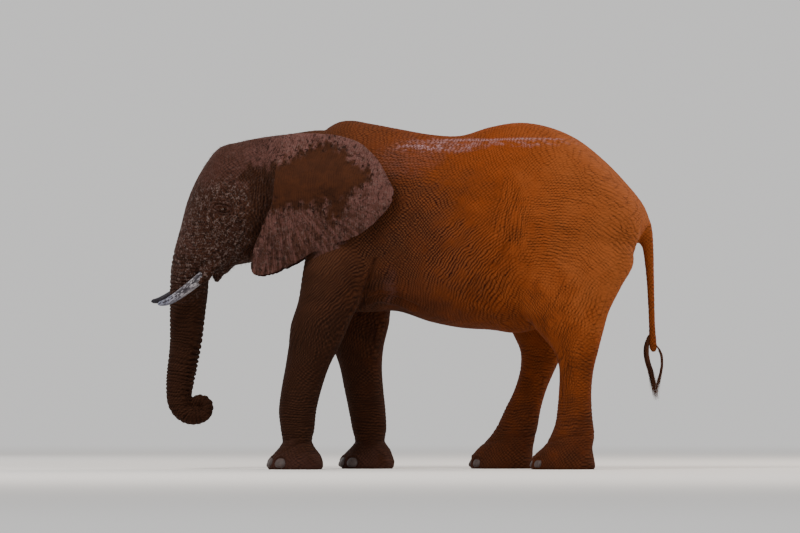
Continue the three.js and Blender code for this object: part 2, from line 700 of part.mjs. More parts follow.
const [headAndNeck, behind] = parted(flesh, ...NECK_CUT);
const [headAndTrunk, neck] = parted(headAndNeck, ...HEAD_CUT);
const [, headAndJaw] = parted(headAndTrunk, ...TRUNK_CUT);
const [jaw, skull] = notched(headAndJaw, MOUTH_CUT, LIP_CUT);
const trunkRows = eased(HEAD.slice(TRUNK_START), 120);
const tipAt = trunkRows.findIndex((row) => row.every((value, i) => value === HEAD[TIP_START][i]));
const trunkRings = ringsOf(trunkRows, TRUNK_AROUND, { bumps: HEAD_BUMPS });
const trunkRun = solid(skinned(trunkRings.slice(0, tipAt + 1)));
const [trunk] = parted(cleared(joined([trunkRun, ...sheaths]), tuskSockets), ...TRUNK_CUT);
const [belowUpper, trunkUpper] = parted(trunk, [0, TRUNK_LENGTHS[0]], [-1, TRUNK_LENGTHS[0]]);
const [trunkLower, trunkMiddle] = parted(belowUpper, [0, TRUNK_LENGTHS[1]], [-1, TRUNK_LENGTHS[1]]);
const [outerX, outerZ, innerX, innerZ] = HEAD[TIP_START];
const awayFromTrunk = new THREE.Vector3(innerZ - outerZ, 0, outerX - innerX).setLength(GAP);
const firstTipRing = trunkRings[tipAt].map((point) => point.clone().add(awayFromTrunk));
const trunkTip = solid(skinned([firstTipRing, ...trunkRings.slice(tipAt + 1)]));
const [tail, torso] = notched(behind, TAIL_CUT, TAIL_SPACE);

const locks = [FRONT_LOCK, REAR_LOCK].map((lock) => solid(loft(lock, 140, 6)));
const tuft = cleared(joined(locks), [tailShape(GAP)]);

place('torso', torso, HIDE);
place('neck', neck, HIDE);
place('head', skull, HIDE);
place('lower_jaw', jaw, HIDE);
place('trunk_upper', trunkUpper, HIDE);
place('trunk_middle', trunkMiddle, HIDE);
place('trunk_lower', trunkLower, HIDE);
place('trunk_tip', trunkTip, HIDE);
place('tail', tail, HIDE);
place('tail_tuft', tuft, TAIL_HAIR);

SIDES.forEach(([name], i) => {
  place(`ear_${name}`, ears[i], HIDE);
  place(`eye_${name}`, ball(eyes[i], EYE.radius), EYE_LENS);
});
TUSKS.forEach((one) => place(one.name, tusk(TUSK_LINE, one, 0), IVORY));

LEGS.forEach((leg, i) => {
  const [ankle, elbow] = leg.cuts;
  const [above, foot] = parted(legPieces[i], [0, ankle], [1, ankle]);
  const [upper, lower] = parted(above, [0, elbow], [1, elbow]);
  place(`${leg.name}_upper`, upper, HIDE);
  place(`${leg.name}_lower`, lower, HIDE);
  const angles = Array.from({ length: leg.nails.count }, (_, k) => (
    leg.nails.from + ((leg.nails.to - leg.nails.from) * k) / (leg.nails.count - 1)
  ));
  place(leg.foot, cleared(foot, angles.map((angle) => nail(leg, angle, GAP))), HIDE);
  angles.forEach((angle, k) => place(`nail_${leg.foot}_${k + 1}`, nail(leg, angle, 0), NAIL));
});

export default parts;
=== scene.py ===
"""A life-size still model of an african elephant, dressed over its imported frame.

Laid out as an add-on: property groups hold the sizes and colours, each piece or group of like pieces
has an operator, and a panel lists them. Metres, +Z up. The animal faces -X and its left side faces -Y.
"""

import itertools
import math

import bmesh
import bpy
import numpy as np
from bpy.props import FloatProperty, FloatVectorProperty, IntProperty, PointerProperty
from bpy.types import Operator, Panel, PropertyGroup
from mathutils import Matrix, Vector
from mathutils.kdtree import KDTree


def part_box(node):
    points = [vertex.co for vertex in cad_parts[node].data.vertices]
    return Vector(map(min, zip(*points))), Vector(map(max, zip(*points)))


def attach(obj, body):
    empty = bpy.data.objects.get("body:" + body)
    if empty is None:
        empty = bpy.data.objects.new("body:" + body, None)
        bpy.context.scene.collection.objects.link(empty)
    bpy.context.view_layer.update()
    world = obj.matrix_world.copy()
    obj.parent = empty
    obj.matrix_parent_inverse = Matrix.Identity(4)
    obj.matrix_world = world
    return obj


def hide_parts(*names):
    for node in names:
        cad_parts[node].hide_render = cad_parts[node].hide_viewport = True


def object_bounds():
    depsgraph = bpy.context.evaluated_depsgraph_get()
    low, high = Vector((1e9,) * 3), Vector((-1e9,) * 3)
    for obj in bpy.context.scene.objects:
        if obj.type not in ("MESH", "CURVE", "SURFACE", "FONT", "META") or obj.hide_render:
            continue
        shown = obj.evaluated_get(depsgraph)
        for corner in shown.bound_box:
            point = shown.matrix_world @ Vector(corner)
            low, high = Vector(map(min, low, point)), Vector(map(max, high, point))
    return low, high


bl_info = {
    "name": "African elephant",
    "version": (1, 0, 0),
    "blender": (4, 5, 0),
    "location": "3D View > Sidebar > Elephant",
    "description": "Builds the skin, eyes, tusks, nails and hair of a life-size elephant",
    "category": "Add Mesh",
}

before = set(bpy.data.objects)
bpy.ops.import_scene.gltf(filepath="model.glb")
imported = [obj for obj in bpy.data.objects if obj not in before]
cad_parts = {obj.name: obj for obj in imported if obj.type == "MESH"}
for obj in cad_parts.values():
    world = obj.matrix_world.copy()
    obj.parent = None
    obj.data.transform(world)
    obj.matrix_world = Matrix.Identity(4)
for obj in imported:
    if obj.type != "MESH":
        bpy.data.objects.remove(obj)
CAD_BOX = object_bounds()

LEFT = -1
RIGHT = 1
SIDES = (("left", LEFT), ("right", RIGHT))
OWN_PIECES = ("nail_", "eye_", "tusk_", "tail_tuft")  # nodes that aren't part of the skin
FLESH = [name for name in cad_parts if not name.startswith(OWN_PIECES)]
SOLE_FLAT = 0.006  # skin under this height lies flat on the floor
CLEARANCE = 0.001  # how far the skin stays inside the solids' box
HAIR_SIDES = 3
HAIR_DEPTH = 0.001  # how far a hair's root sits under the skin
ROOT_PATCH = 0.003  # how much of the skin's unwrap one hair lies on
BLACK = (0.0, 0.0, 0.0)
STUDIO_LIGHT = 0.85  # strength of the light that comes from all round
FLOOR_RADIUS = 150.0
CAMERA_REACH = 400.0
SENSOR_WIDTH = 36.0


# ---------------------------------------------------------------- the body's sections


def section(outer, inner, half, y=0.0, wide=0.5, outer_power=2.0, inner_power=2.0):
    """One cross section, square to the middle plane, from an outer to an inner point (x, z).

    half is half its width, wide how far from the inner point its widest place lies, and the powers how
    square its two ends are, where 2 is an ellipse. y moves it off the middle plane.
    """
    return (*outer, *inner, y, half, wide, outer_power, inner_power)


def level(z, front, back, y, half, tilt=0.0, **shape):
    """A leg's section: height, front and back, distance off the body's middle plane, and half width."""
    return section((back, z + tilt), (front, z - tilt), half, y=y, **shape)


# Trunk of the body from breast to tail root: spine point, belly point, half width.
TORSO = [
    section((-0.850, 2.140), (-0.775, 1.640), 0.110),
    section((-0.785, 2.400), (-0.745, 1.440), 0.270, wide=0.48),  # breast
    section((-0.640, 2.600), (-0.640, 1.280), 0.385, wide=0.46, outer_power=1.9),  # neck root
    section((-0.475, 2.685), (-0.475, 1.215), 0.448, wide=0.46, outer_power=1.8),  # withers
    section((-0.270, 2.661), (-0.280, 1.205), 0.485, wide=0.45, outer_power=1.8),  # elbow
    section((-0.050, 2.620), (-0.070, 1.212), 0.512, wide=0.44, outer_power=1.85),  # girth
    section((0.200, 2.577), (0.180, 1.132), 0.546, wide=0.42, outer_power=1.9),  # ribs
    section((0.420, 2.570), (0.420, 1.084), 0.562, wide=0.42, outer_power=1.9, inner_power=2.1),  # belly
    section((0.645, 2.636), (0.650, 1.068), 0.552, wide=0.44, outer_power=1.85, inner_power=2.1),  # loin
    section((0.875, 2.670), (0.860, 1.044), 0.532, wide=0.48, outer_power=1.85),  # flank
    section((1.100, 2.635), (1.060, 1.100), 0.512, wide=0.52, outer_power=1.95),  # hip
    section((1.320, 2.539), (1.250, 1.240), 0.498, wide=0.52, outer_power=2.1),
    section((1.523, 2.379), (1.420, 1.400), 0.468, outer_power=2.1),  # rump
    section((1.697, 2.199), (1.610, 1.500), 0.390, wide=0.48, outer_power=2.1),
    section((1.828, 2.031), (1.748, 1.640), 0.265, wide=0.46),  # tail root
    section((1.878, 1.905), (1.762, 1.728), 0.110),
]

# Neck, head and trunk as one run: upper and front line, lower and rear line, half width.
HEAD = [
    section((-0.420, 2.560), (-0.560, 1.500), 0.320),
    section((-0.650, 2.612), (-0.790, 1.636), 0.335),
    section((-0.900, 2.583), (-0.990, 1.636), 0.318, wide=0.52, outer_power=2.1),  # nape
    section((-1.115, 2.555), (-1.175, 1.592), 0.332, wide=0.52, outer_power=2.4),
    section((-1.280, 2.521), (-1.270, 1.574), 0.350, wide=0.52, outer_power=2.6),  # crown
    section((-1.442, 2.474), (-1.318, 1.565), 0.355, outer_power=2.7),  # top of the forehead
    section((-1.560, 2.328), (-1.350, 1.548), 0.348, wide=0.48, outer_power=2.6),
    section((-1.637, 2.197), (-1.378, 1.528), 0.326, wide=0.46, outer_power=2.4),  # brow
    section((-1.695, 2.050), (-1.412, 1.512), 0.294, wide=0.42, outer_power=2.2),
    section((-1.740, 1.870), (-1.466, 1.528), 0.262, wide=0.38),  # tusk sockets
    section((-1.785, 1.710), (-1.504, 1.520), 0.224, wide=0.36),
    section((-1.813, 1.575), (-1.518, 1.468), 0.184, wide=0.42),  # trunk root
    section((-1.825, 1.400), (-1.524, 1.375), 0.160),
    section((-1.826, 1.180), (-1.547, 1.180), 0.145),
    section((-1.826, 0.960), (-1.572, 0.965), 0.128),
    section((-1.851, 0.720), (-1.616, 0.735), 0.112),
    section((-1.853, 0.590), (-1.645, 0.604), 0.102),
    section((-1.836, 0.480), (-1.655, 0.530), 0.094),
    section((-1.786, 0.400), (-1.650, 0.494), 0.086),
    section((-1.708, 0.348), (-1.612, 0.468), 0.078),  # bottom of the curl
    section((-1.630, 0.337), (-1.603, 0.464), 0.074),
    section((-1.552, 0.358), (-1.595, 0.465), 0.070),
    section((-1.500, 0.404), (-1.590, 0.470), 0.066),
    section((-1.481, 0.462), (-1.588, 0.478), 0.062),
    section((-1.489, 0.518), (-1.590, 0.486), 0.058),
    section((-1.530, 0.564), (-1.595, 0.491), 0.054),
    section((-1.588, 0.580), (-1.602, 0.492), 0.050),  # trunk tip, which closes the curl
    section((-1.633, 0.569), (-1.610, 0.491), 0.044),
    section((-1.648, 0.545), (-1.622, 0.493), 0.034),
]
TRUNK_START = 9  # the section where the trunk's own run begins
TIP_PRESSED = 0.020  # how far the trunk's tip is pressed against the trunk
CURL_START = 19  # the section from which the trunk curls round its own end
CURL_FILLED = 0.012  # how much further in the curl's flesh reaches
TAIL_FULLER = 0.005  # makes up for what easing takes off the tail

# Lower jaw and lip: mouth line, chin line, half width.
JAW = [
    section((-1.130, 1.880), (-1.180, 1.600), 0.150),
    section((-1.250, 1.830), (-1.275, 1.578), 0.190),
    section((-1.340, 1.760), (-1.322, 1.562), 0.170),
    section((-1.412, 1.660), (-1.376, 1.508), 0.122),
    section((-1.476, 1.586), (-1.394, 1.498), 0.096),
    section((-1.502, 1.514), (-1.407, 1.494), 0.072),  # lower lip
    section((-1.494, 1.474), (-1.425, 1.462), 0.056),
    section((-1.478, 1.440), (-1.448, 1.436), 0.030),
]

# Tail with its core down into the tuft: rear line, front line, half width.
TAIL = [
    section((1.800, 2.075), (1.660, 1.960), 0.070),
    section((1.850, 1.990), (1.730, 1.830), 0.062),
    section((1.890, 1.860), (1.798, 1.738), 0.048),
    section((1.900, 1.720), (1.822, 1.690), 0.036),
    section((1.904, 1.500), (1.846, 1.500), 0.029),
    section((1.908, 1.300), (1.860, 1.300), 0.025),
    section((1.912, 1.120), (1.868, 1.120), 0.022),
    section((1.922, 0.985), (1.870, 0.985), 0.022),
    section((1.926, 0.930), (1.874, 0.930), 0.020),
    section((1.912, 0.900), (1.892, 0.900), 0.010),
]

# The tuft's two locks of hair: rear line, front line, half width.
FRONT_LOCK = [
    section((1.880, 1.030), (1.860, 1.040), 0.014),
    section((1.874, 0.985), (1.838, 0.990), 0.024),
    section((1.868, 0.925), (1.824, 0.920), 0.030),
    section((1.876, 0.850), (1.830, 0.840), 0.030),
    section((1.896, 0.775), (1.856, 0.755), 0.028),
    section((1.914, 0.690), (1.880, 0.670), 0.026),
    section((1.926, 0.605), (1.896, 0.590), 0.020),
    section((1.930, 0.535), (1.912, 0.530), 0.010),
]
REAR_LOCK = [
    section((1.926, 0.960), (1.908, 0.950), 0.010),
    section((1.954, 0.925), (1.934, 0.920), 0.012),
    section((1.974, 0.870), (1.954, 0.870), 0.013),
    section((1.976, 0.800), (1.956, 0.800), 0.013),
    section((1.966, 0.730), (1.944, 0.730), 0.016),
    section((1.950, 0.660), (1.920, 0.655), 0.020),
    section((1.940, 0.590), (1.908, 0.585), 0.016),
    section((1.932, 0.530), (1.914, 0.530), 0.010),
]
LOCK_FILLED = 0.85  # how much of its lock's width the hair takes up
TUFT_LIMIT = 1.982  # how far back a hair may stray

# Nails: how many, the arc they cover (180 degrees points forward), and each one's size.
FORE_NAILS = {"count": 4, "arc": (122, 238), "half": 0.046, "height": 0.040, "depth": 0.024, "rise": 0.050}
HIND_NAILS = {"count": 3, "arc": (144, 216), "half": 0.036, "height": 0.038, "depth": 0.022, "rise": 0.048}
NAIL_LEAN = 0.42  # radians that the top of a nail leans back
NAIL_SUNK = 0.010
NAIL_SQUARE = 2.8  # how square a nail's outline is, where 2 is an ellipse
NAIL_SHRINK = 0.97  # keeps a nail inside its solid
NAIL_FOOT = 0.014  # height of a nail's lower edge

# Legs at each of their sections, from the sole up: distance off the middle plane, half width, and how
# square the section is behind and in front, where that isn't an ellipse.
FORE_FORM = [
    (0.300, 0.168, 2.4, 2.3),
    (0.300, 0.180, 2.4, 2.3),
    (0.300, 0.182, 2.3, 2.2),
    (0.300, 0.172),
    (0.302, 0.152),
    (0.304, 0.134),  # wrist crease
    (0.306, 0.134),
    (0.310, 0.142),
    (0.314, 0.150),
    (0.318, 0.158),
    (0.322, 0.168),  # elbow
    (0.325, 0.180),
    (0.318, 0.194),
    (0.300, 0.205),
    (0.275, 0.200),
    (0.255, 0.150),
]
HIND_FORM = [
    (0.290, 0.146, 2.3, 2.2),
    (0.290, 0.156, 2.3, 2.2),
    (0.290, 0.158, 2.2, 2.1),
    (0.290, 0.152),
    (0.290, 0.142),
    (0.290, 0.132),  # heel
    (0.290, 0.124),
    (0.290, 0.118),
    (0.292, 0.120),
    (0.295, 0.134),
    (0.298, 0.156),  # knee
    (0.300, 0.182),
    (0.298, 0.208),
    (0.288, 0.226),
    (0.270, 0.222),
    (0.245, 0.205),
    (0.220, 0.150),
]


def leg_on(foot, side, nails, form, lines):
    """The leg on a foot, from its form and, at each section, the height, front, back and any tilt."""
    sections = []
    for (y, half, *powers), (z, front, back, *tilt) in zip(form, lines):
        shape = dict(zip(("outer_power", "inner_power"), powers))
        sections.append(level(z, front, back, y, half, *tilt, **shape))
    return {"foot": foot, "side": side, "nails": nails, "sections": sections}


LEGS = [
    leg_on("forefoot_left", LEFT, FORE_NAILS, FORE_FORM, [
        (0.000, -1.050, -0.655), (0.014, -1.067, -0.640), (0.060, -1.060, -0.638),
        (0.112, -1.028, -0.655), (0.160, -0.985, -0.692), (0.210, -0.955, -0.718),
        (0.300, -0.966, -0.703), (0.450, -0.981, -0.687), (0.620, -0.961, -0.646),
        (0.790, -0.930, -0.588), (0.950, -0.906, -0.506), (1.130, -0.888, -0.420, 0.015),
        (1.320, -0.832, -0.330, 0.025), (1.540, -0.800, -0.262, 0.025), (1.760, -0.752, -0.270, 0.020),
        (1.930, -0.660, -0.345),
    ]),
    leg_on("forefoot_right", RIGHT, FORE_NAILS, FORE_FORM, [
        (0.000, -0.492, -0.112), (0.014, -0.510, -0.098), (0.055, -0.514, -0.090),
        (0.102, -0.494, -0.105), (0.150, -0.448, -0.122), (0.208, -0.402, -0.163),
        (0.300, -0.422, -0.152), (0.450, -0.450, -0.158), (0.620, -0.485, -0.176),
        (0.790, -0.520, -0.186), (0.950, -0.580, -0.172), (1.130, -0.672, -0.128, 0.010),
        (1.320, -0.760, -0.120, 0.015), (1.540, -0.790, -0.160, 0.015), (1.760, -0.745, -0.225, 0.015),
        (1.930, -0.650, -0.330),
    ]),
    leg_on("hindfoot_left", LEFT, HIND_NAILS, HIND_FORM, [
        (0.000, 0.962, 1.432), (0.014, 0.950, 1.446), (0.075, 0.960, 1.442), (0.125, 0.990, 1.432),
        (0.172, 1.045, 1.428), (0.262, 1.102, 1.444), (0.345, 1.134, 1.434), (0.450, 1.150, 1.424),
        (0.600, 1.164, 1.420), (0.760, 1.166, 1.436), (0.900, 1.128, 1.470), (1.040, 1.030, 1.512, 0.020),
        (1.200, 0.900, 1.560, 0.020), (1.390, 0.810, 1.650, 0.010), (1.590, 0.810, 1.746),
        (1.790, 0.900, 1.690), (1.960, 1.040, 1.520),
    ]),
    leg_on("hindfoot_right", RIGHT, HIND_NAILS, HIND_FORM, [
        (0.000, 0.505, 0.965), (0.014, 0.492, 0.978), (0.070, 0.496, 0.980), (0.118, 0.516, 0.980),
        (0.172, 0.566, 0.984), (0.245, 0.640, 1.000), (0.345, 0.706, 1.022), (0.450, 0.754, 1.040),
        (0.600, 0.828, 1.082), (0.760, 0.876, 1.150), (0.900, 0.880, 1.220), (1.040, 0.830, 1.310, 0.020),
        (1.200, 0.750, 1.440, 0.020), (1.390, 0.720, 1.605, 0.010), (1.590, 0.770, 1.736),
        (1.790, 0.880, 1.690), (1.960, 1.030, 1.520),
    ]),
]


def knot(along, x, y, z, radius):
    """A place on a round run's centre line: its share of the way along, where it is and the radius there."""
    return {"along": along, "x": x, "y": y, "z": z, "radius": radius}


# Tusk: its centre line from root to tip.
TUSK_LINE = [
    knot(0, -1.395, 0.172, 1.655, 0.027),
    knot(0.3, -1.520, 0.196, 1.528, 0.037),
    knot(0.5, -1.630, 0.218, 1.427, 0.039),
    knot(0.72, -1.745, 0.236, 1.339, 0.035),
    knot(0.9, -1.840, 0.244, 1.282, 0.027),
    knot(1, -1.908, 0.246, 1.266, 0.015),
]
# The sheath of flesh that wraps a tusk as far as its lip, in the same terms.
SHEATH_LINE = [
    knot(0, -1.395, 0.162, 1.655, 0.058),
    knot(0.2, -1.480, 0.188, 1.574, 0.057),
    knot(0.32, -1.534, 0.203, 1.520, 0.052),
    knot(0.37, -1.562, 0.209, 1.493, 0.048),  # lip
]
# The fold of lip that lies over a tusk's lower edge where it leaves its sheath.
TUSK_FOLD = [
    knot(0.2, -1.505, 0.205, 1.512, 0.036),
    knot(0.3, -1.545, 0.218, 1.472, 0.036),
    knot(0.38, -1.580, 0.228, 1.442, 0.029),
    knot(0.42, -1.608, 0.232, 1.422, 0.014),
]
# The flap of skin under the tail's root.
TAIL_FLAP = [
    knot(0, 1.735, 0.0, 1.790, 0.036),
    knot(0.5, 1.785, 0.0, 1.772, 0.038),
    knot(1, 1.830, 0.0, 1.790, 0.034),
]
# How much further forward and up each tusk reaches.
LONGER = {LEFT: 0.0, RIGHT: 0.066}
RAISED = {LEFT: 0.0, RIGHT: 0.025}

# Ear: its free edge from the top of the root round to the foot of the root, and the root itself (x, z).
EAR_RIM = [
    (-0.955, 2.552), (-0.905, 2.576), (-0.760, 2.586), (-0.610, 2.578), (-0.470, 2.548), (-0.330, 2.486),
    (-0.215, 2.366), (-0.140, 2.232), (-0.092, 2.120), (-0.118, 2.020), (-0.195, 1.915), (-0.300, 1.812),
    (-0.420, 1.742), (-0.560, 1.702), (-0.700, 1.646), (-0.830, 1.568), (-0.990, 1.508), (-1.112, 1.482),
    (-1.186, 1.502), (-1.196, 1.594), (-1.160, 1.730), (-1.090, 1.870), (-1.035, 2.020),
]
EAR_ROOT = [(-0.975, 2.540), (-0.985, 2.440), (-1.000, 2.320), (-1.015, 2.180), (-1.025, 2.060)]
EAR_OUT = {"root": 0.352, "spread": 0.235, "lean": 0.165, "tuck": 0.040, "depth": 0.200}
EAR_BANDS = 44  # points across the ear from its root to its rim
EAR_FRONT = -1.190
EAR_LENGTH = 1.100
EAR_MIDDLE = (-0.72, 2.05)
VEIN_START = (-1.06, 2.28)  # where the ear's veins fan out from
RAY_START = (-1.03, 2.30)  # and the rays of dust on its lower part
EAR_THICKNESS = {"root": 0.044, "rim": 0.016}
EAR_RAMP = {"length": 0.23, "sunk": 0.150, "low": 2.060, "high": 2.360}  # how its root runs into the head
# Nicks in the ear's edge: where (x, z), how deep and how wide.
EAR_NICKS = [
    ((-0.104, 2.079), 0.020, 0.014),
    ((-0.951, 1.525), 0.016, 0.016),
    ((-0.395, 1.750), 0.010, 0.018),
]

# ---------------------------------------------------------------- relief of bone, muscle and fold


def bump(at, radius, height):
    """A push of the surface towards or away from a place (x, y, z), soft at its edge, on both sides."""
    return {"at": at, "radius": radius, "height": height}


HEAD_BUMPS = [
    bump((-1.275, 0.330, 2.250), (0.120, 0.160, 0.150), -0.042),  # temple hollow
    bump((-1.455, 0.300, 2.090), (0.080, 0.120, 0.060), 0.014),  # brow
    bump((-1.420, 0.310, 1.990), (0.062, 0.110, 0.052), -0.016),  # eye socket
    bump((-1.300, 0.340, 1.930), (0.120, 0.120, 0.080), 0.018),  # cheek bone
    bump((-1.560, 0.235, 1.640), (0.095, 0.090, 0.110), 0.026),  # tusk sheath
    bump((-1.500, 0.210, 2.330), (0.090, 0.120, 0.120), 0.012),  # forehead dome
]
TORSO_BUMPS = [
    bump((-0.470, 0.400, 2.240), (0.150, 0.250, 0.330), 0.026),  # shoulder blade
    bump((0.900, 0.330, 2.430), (0.170, 0.200, 0.140), 0.034),  # hip bone
    bump((0.760, 0.520, 2.060), (0.200, 0.260, 0.240), -0.034),  # flank hollow
]
# Finer forms that the skin adds under itself. Most of them sink it, so it stays inside the solids.
SKIN_BUMPS = [
    bump((0.250, 0.200, 2.560), (0.800, 0.100, 0.110), -0.014),  # beside the spine
    bump((-0.560, 0.480, 1.900), (0.100, 0.300, 0.260), -0.016),  # behind the shoulder blade's front edge
    bump((-0.270, 0.480, 1.950), (0.090, 0.300, 0.420), -0.018),  # behind the shoulder
    bump((-0.480, 0.460, 1.500), (0.150, 0.200, 0.200), 0.010),  # upper arm
    bump((0.980, 0.500, 2.150), (0.110, 0.250, 0.200), -0.012),  # in front of the thigh bone
    bump((1.330, 0.480, 1.780), (0.260, 0.250, 0.300), 0.008),  # thigh muscle
    bump((-1.395, 0.340, 2.055), (0.070, 0.120, 0.022), 0.008),  # brow ridge over the eye
    bump((-1.330, 0.340, 1.925), (0.060, 0.120, 0.030), 0.008),  # bag under the eye
    bump((-1.430, 0.260, 1.740), (0.090, 0.120, 0.070), -0.014),  # hollow of the cheek
    bump((-1.600, 0.180, 1.900), (0.070, 0.100, 0.160), -0.012),  # beside the trunk's root
    bump((-1.313, 0.345, 1.987), (0.012, 0.120, 0.022), -0.010),  # temporal gland
    bump((-1.217, 0.345, 2.090), (0.016, 0.140, 0.024), -0.016),  # ear opening
    bump((-1.620, 0.000, 2.120), (0.060, 0.050, 0.260), -0.006),  # down the middle of the face
]


def groove(points, width, height, side=0):
    """A line (x, z) that presses in, or stands out, where it crosses the skin seen from the side.

    side is LEFT, RIGHT or 0 for both.
    """
    return {"points": points, "width": width, "height": height, "side": side}


GROOVES = [
    groove([(-1.180, 1.700), (-1.330, 1.598), (-1.440, 1.512), (-1.506, 1.466)], 0.012, -0.020),  # mouth
    groove([(-1.190, 1.735), (-1.340, 1.640), (-1.430, 1.575)], 0.018, 0.008),  # lip above it
    groove([(-0.315, 1.262), (-0.209, 1.300), (-0.068, 1.272), (0.060, 1.216)], 0.016, 0.014),  # elbow web
    groove([(-0.300, 1.300), (-0.205, 1.332), (-0.060, 1.306), (0.080, 1.250)], 0.011, -0.013),
    groove([(-0.280, 1.345), (-0.195, 1.368), (-0.060, 1.345)], 0.011, -0.010),
    groove([(-0.244, 1.600), (-0.297, 1.420), (-0.368, 1.190)], 0.014, -0.018),  # behind the elbow
    groove([(-0.285, 1.560), (-0.335, 1.400), (-0.405, 1.190)], 0.014, 0.008),
    groove([(0.660, 1.560), (0.735, 1.330), (0.800, 1.110)], 0.035, -0.014),  # in front of the thigh
    groove([(0.560, 1.500), (0.640, 1.290), (0.720, 1.110)], 0.026, 0.010),  # flank fold
    groove([(0.845, 2.120), (0.860, 1.930), (0.800, 1.740), (0.700, 1.560)], 0.030, -0.010),
    groove([(1.180, 0.930), (1.192, 0.800), (1.186, 0.600), (1.190, 0.420)], 0.014, -0.010, LEFT),  # shin
    groove([(1.222, 0.900), (1.232, 0.760), (1.228, 0.600), (1.226, 0.430)], 0.012, -0.008, LEFT),
    groove([(-0.975, 0.120), (-0.900, 0.165), (-0.800, 0.205), (-0.712, 0.222)], 0.012, -0.010, LEFT),  # foot
    groove([(-0.955, 0.215), (-0.850, 0.240), (-0.705, 0.252)], 0.012, -0.008, LEFT),
    groove([(-0.400, 0.205), (-0.300, 0.222), (-0.170, 0.215)], 0.012, -0.009, RIGHT),
    groove([(1.060, 0.205), (1.200, 0.245), (1.440, 0.268)], 0.013, -0.009, LEFT),  # ankle
    groove([(0.590, 0.200), (0.760, 0.240), (1.000, 0.255)], 0.013, -0.009, RIGHT),
    groove([(-0.780, 0.030), (-0.740, 0.012), (-0.690, 0.020)], 0.014, -0.008, LEFT),  # arch of the sole
]

# Places where shapes run together without an edge, and how strongly the skin is eased there.
BLENDS = [
    bump((-0.480, 0.420, 1.720), (0.360, 0.300, 0.380), 1.3),  # shoulder
    bump((-0.520, 0.300, 1.200), (0.300, 0.220, 0.130), 1.3),  # armpit
    bump((1.260, 0.400, 1.760), (0.480, 0.300, 0.420), 1.3),  # hip and thigh
    bump((1.080, 0.200, 1.130), (0.420, 0.200, 0.170), 1.3),  # groin
    bump((-0.700, 0.220, 2.150), (0.180, 0.420, 0.420), 1.3),  # neck root
    bump((-0.700, 0.200, 1.600), (0.180, 0.240, 0.160), 1.2),  # breast
    bump((-1.260, 0.150, 1.700), (0.150, 0.180, 0.090), 0.6),  # jaw
    bump((-1.060, 0.330, 2.360), (0.080, 0.090, 0.160), 0.9),  # ear root
    bump((1.820, 0.000, 1.985), (0.090, 0.160, 0.090), 1.2),  # tail root
    bump((-1.630, 0.140, 1.600), (0.060, 0.120, 0.050), 0.25),  # trunk root
]
BLEND_PASSES = 70


def folds(at, reach, spacing, depth, long, lean=None, about=None, side=0):
    """A field of folds round a place (x, z), reach away from it.

    lean is the angle in degrees at which they rise towards the tail; about makes them run in arcs round
    another place instead. long is how many times longer than their spacing they are.
    """
    return {
        "at": at, "reach": reach, "lean": lean, "about": about, "spacing": spacing, "depth": depth,
        "long": long, "side": side,
    }


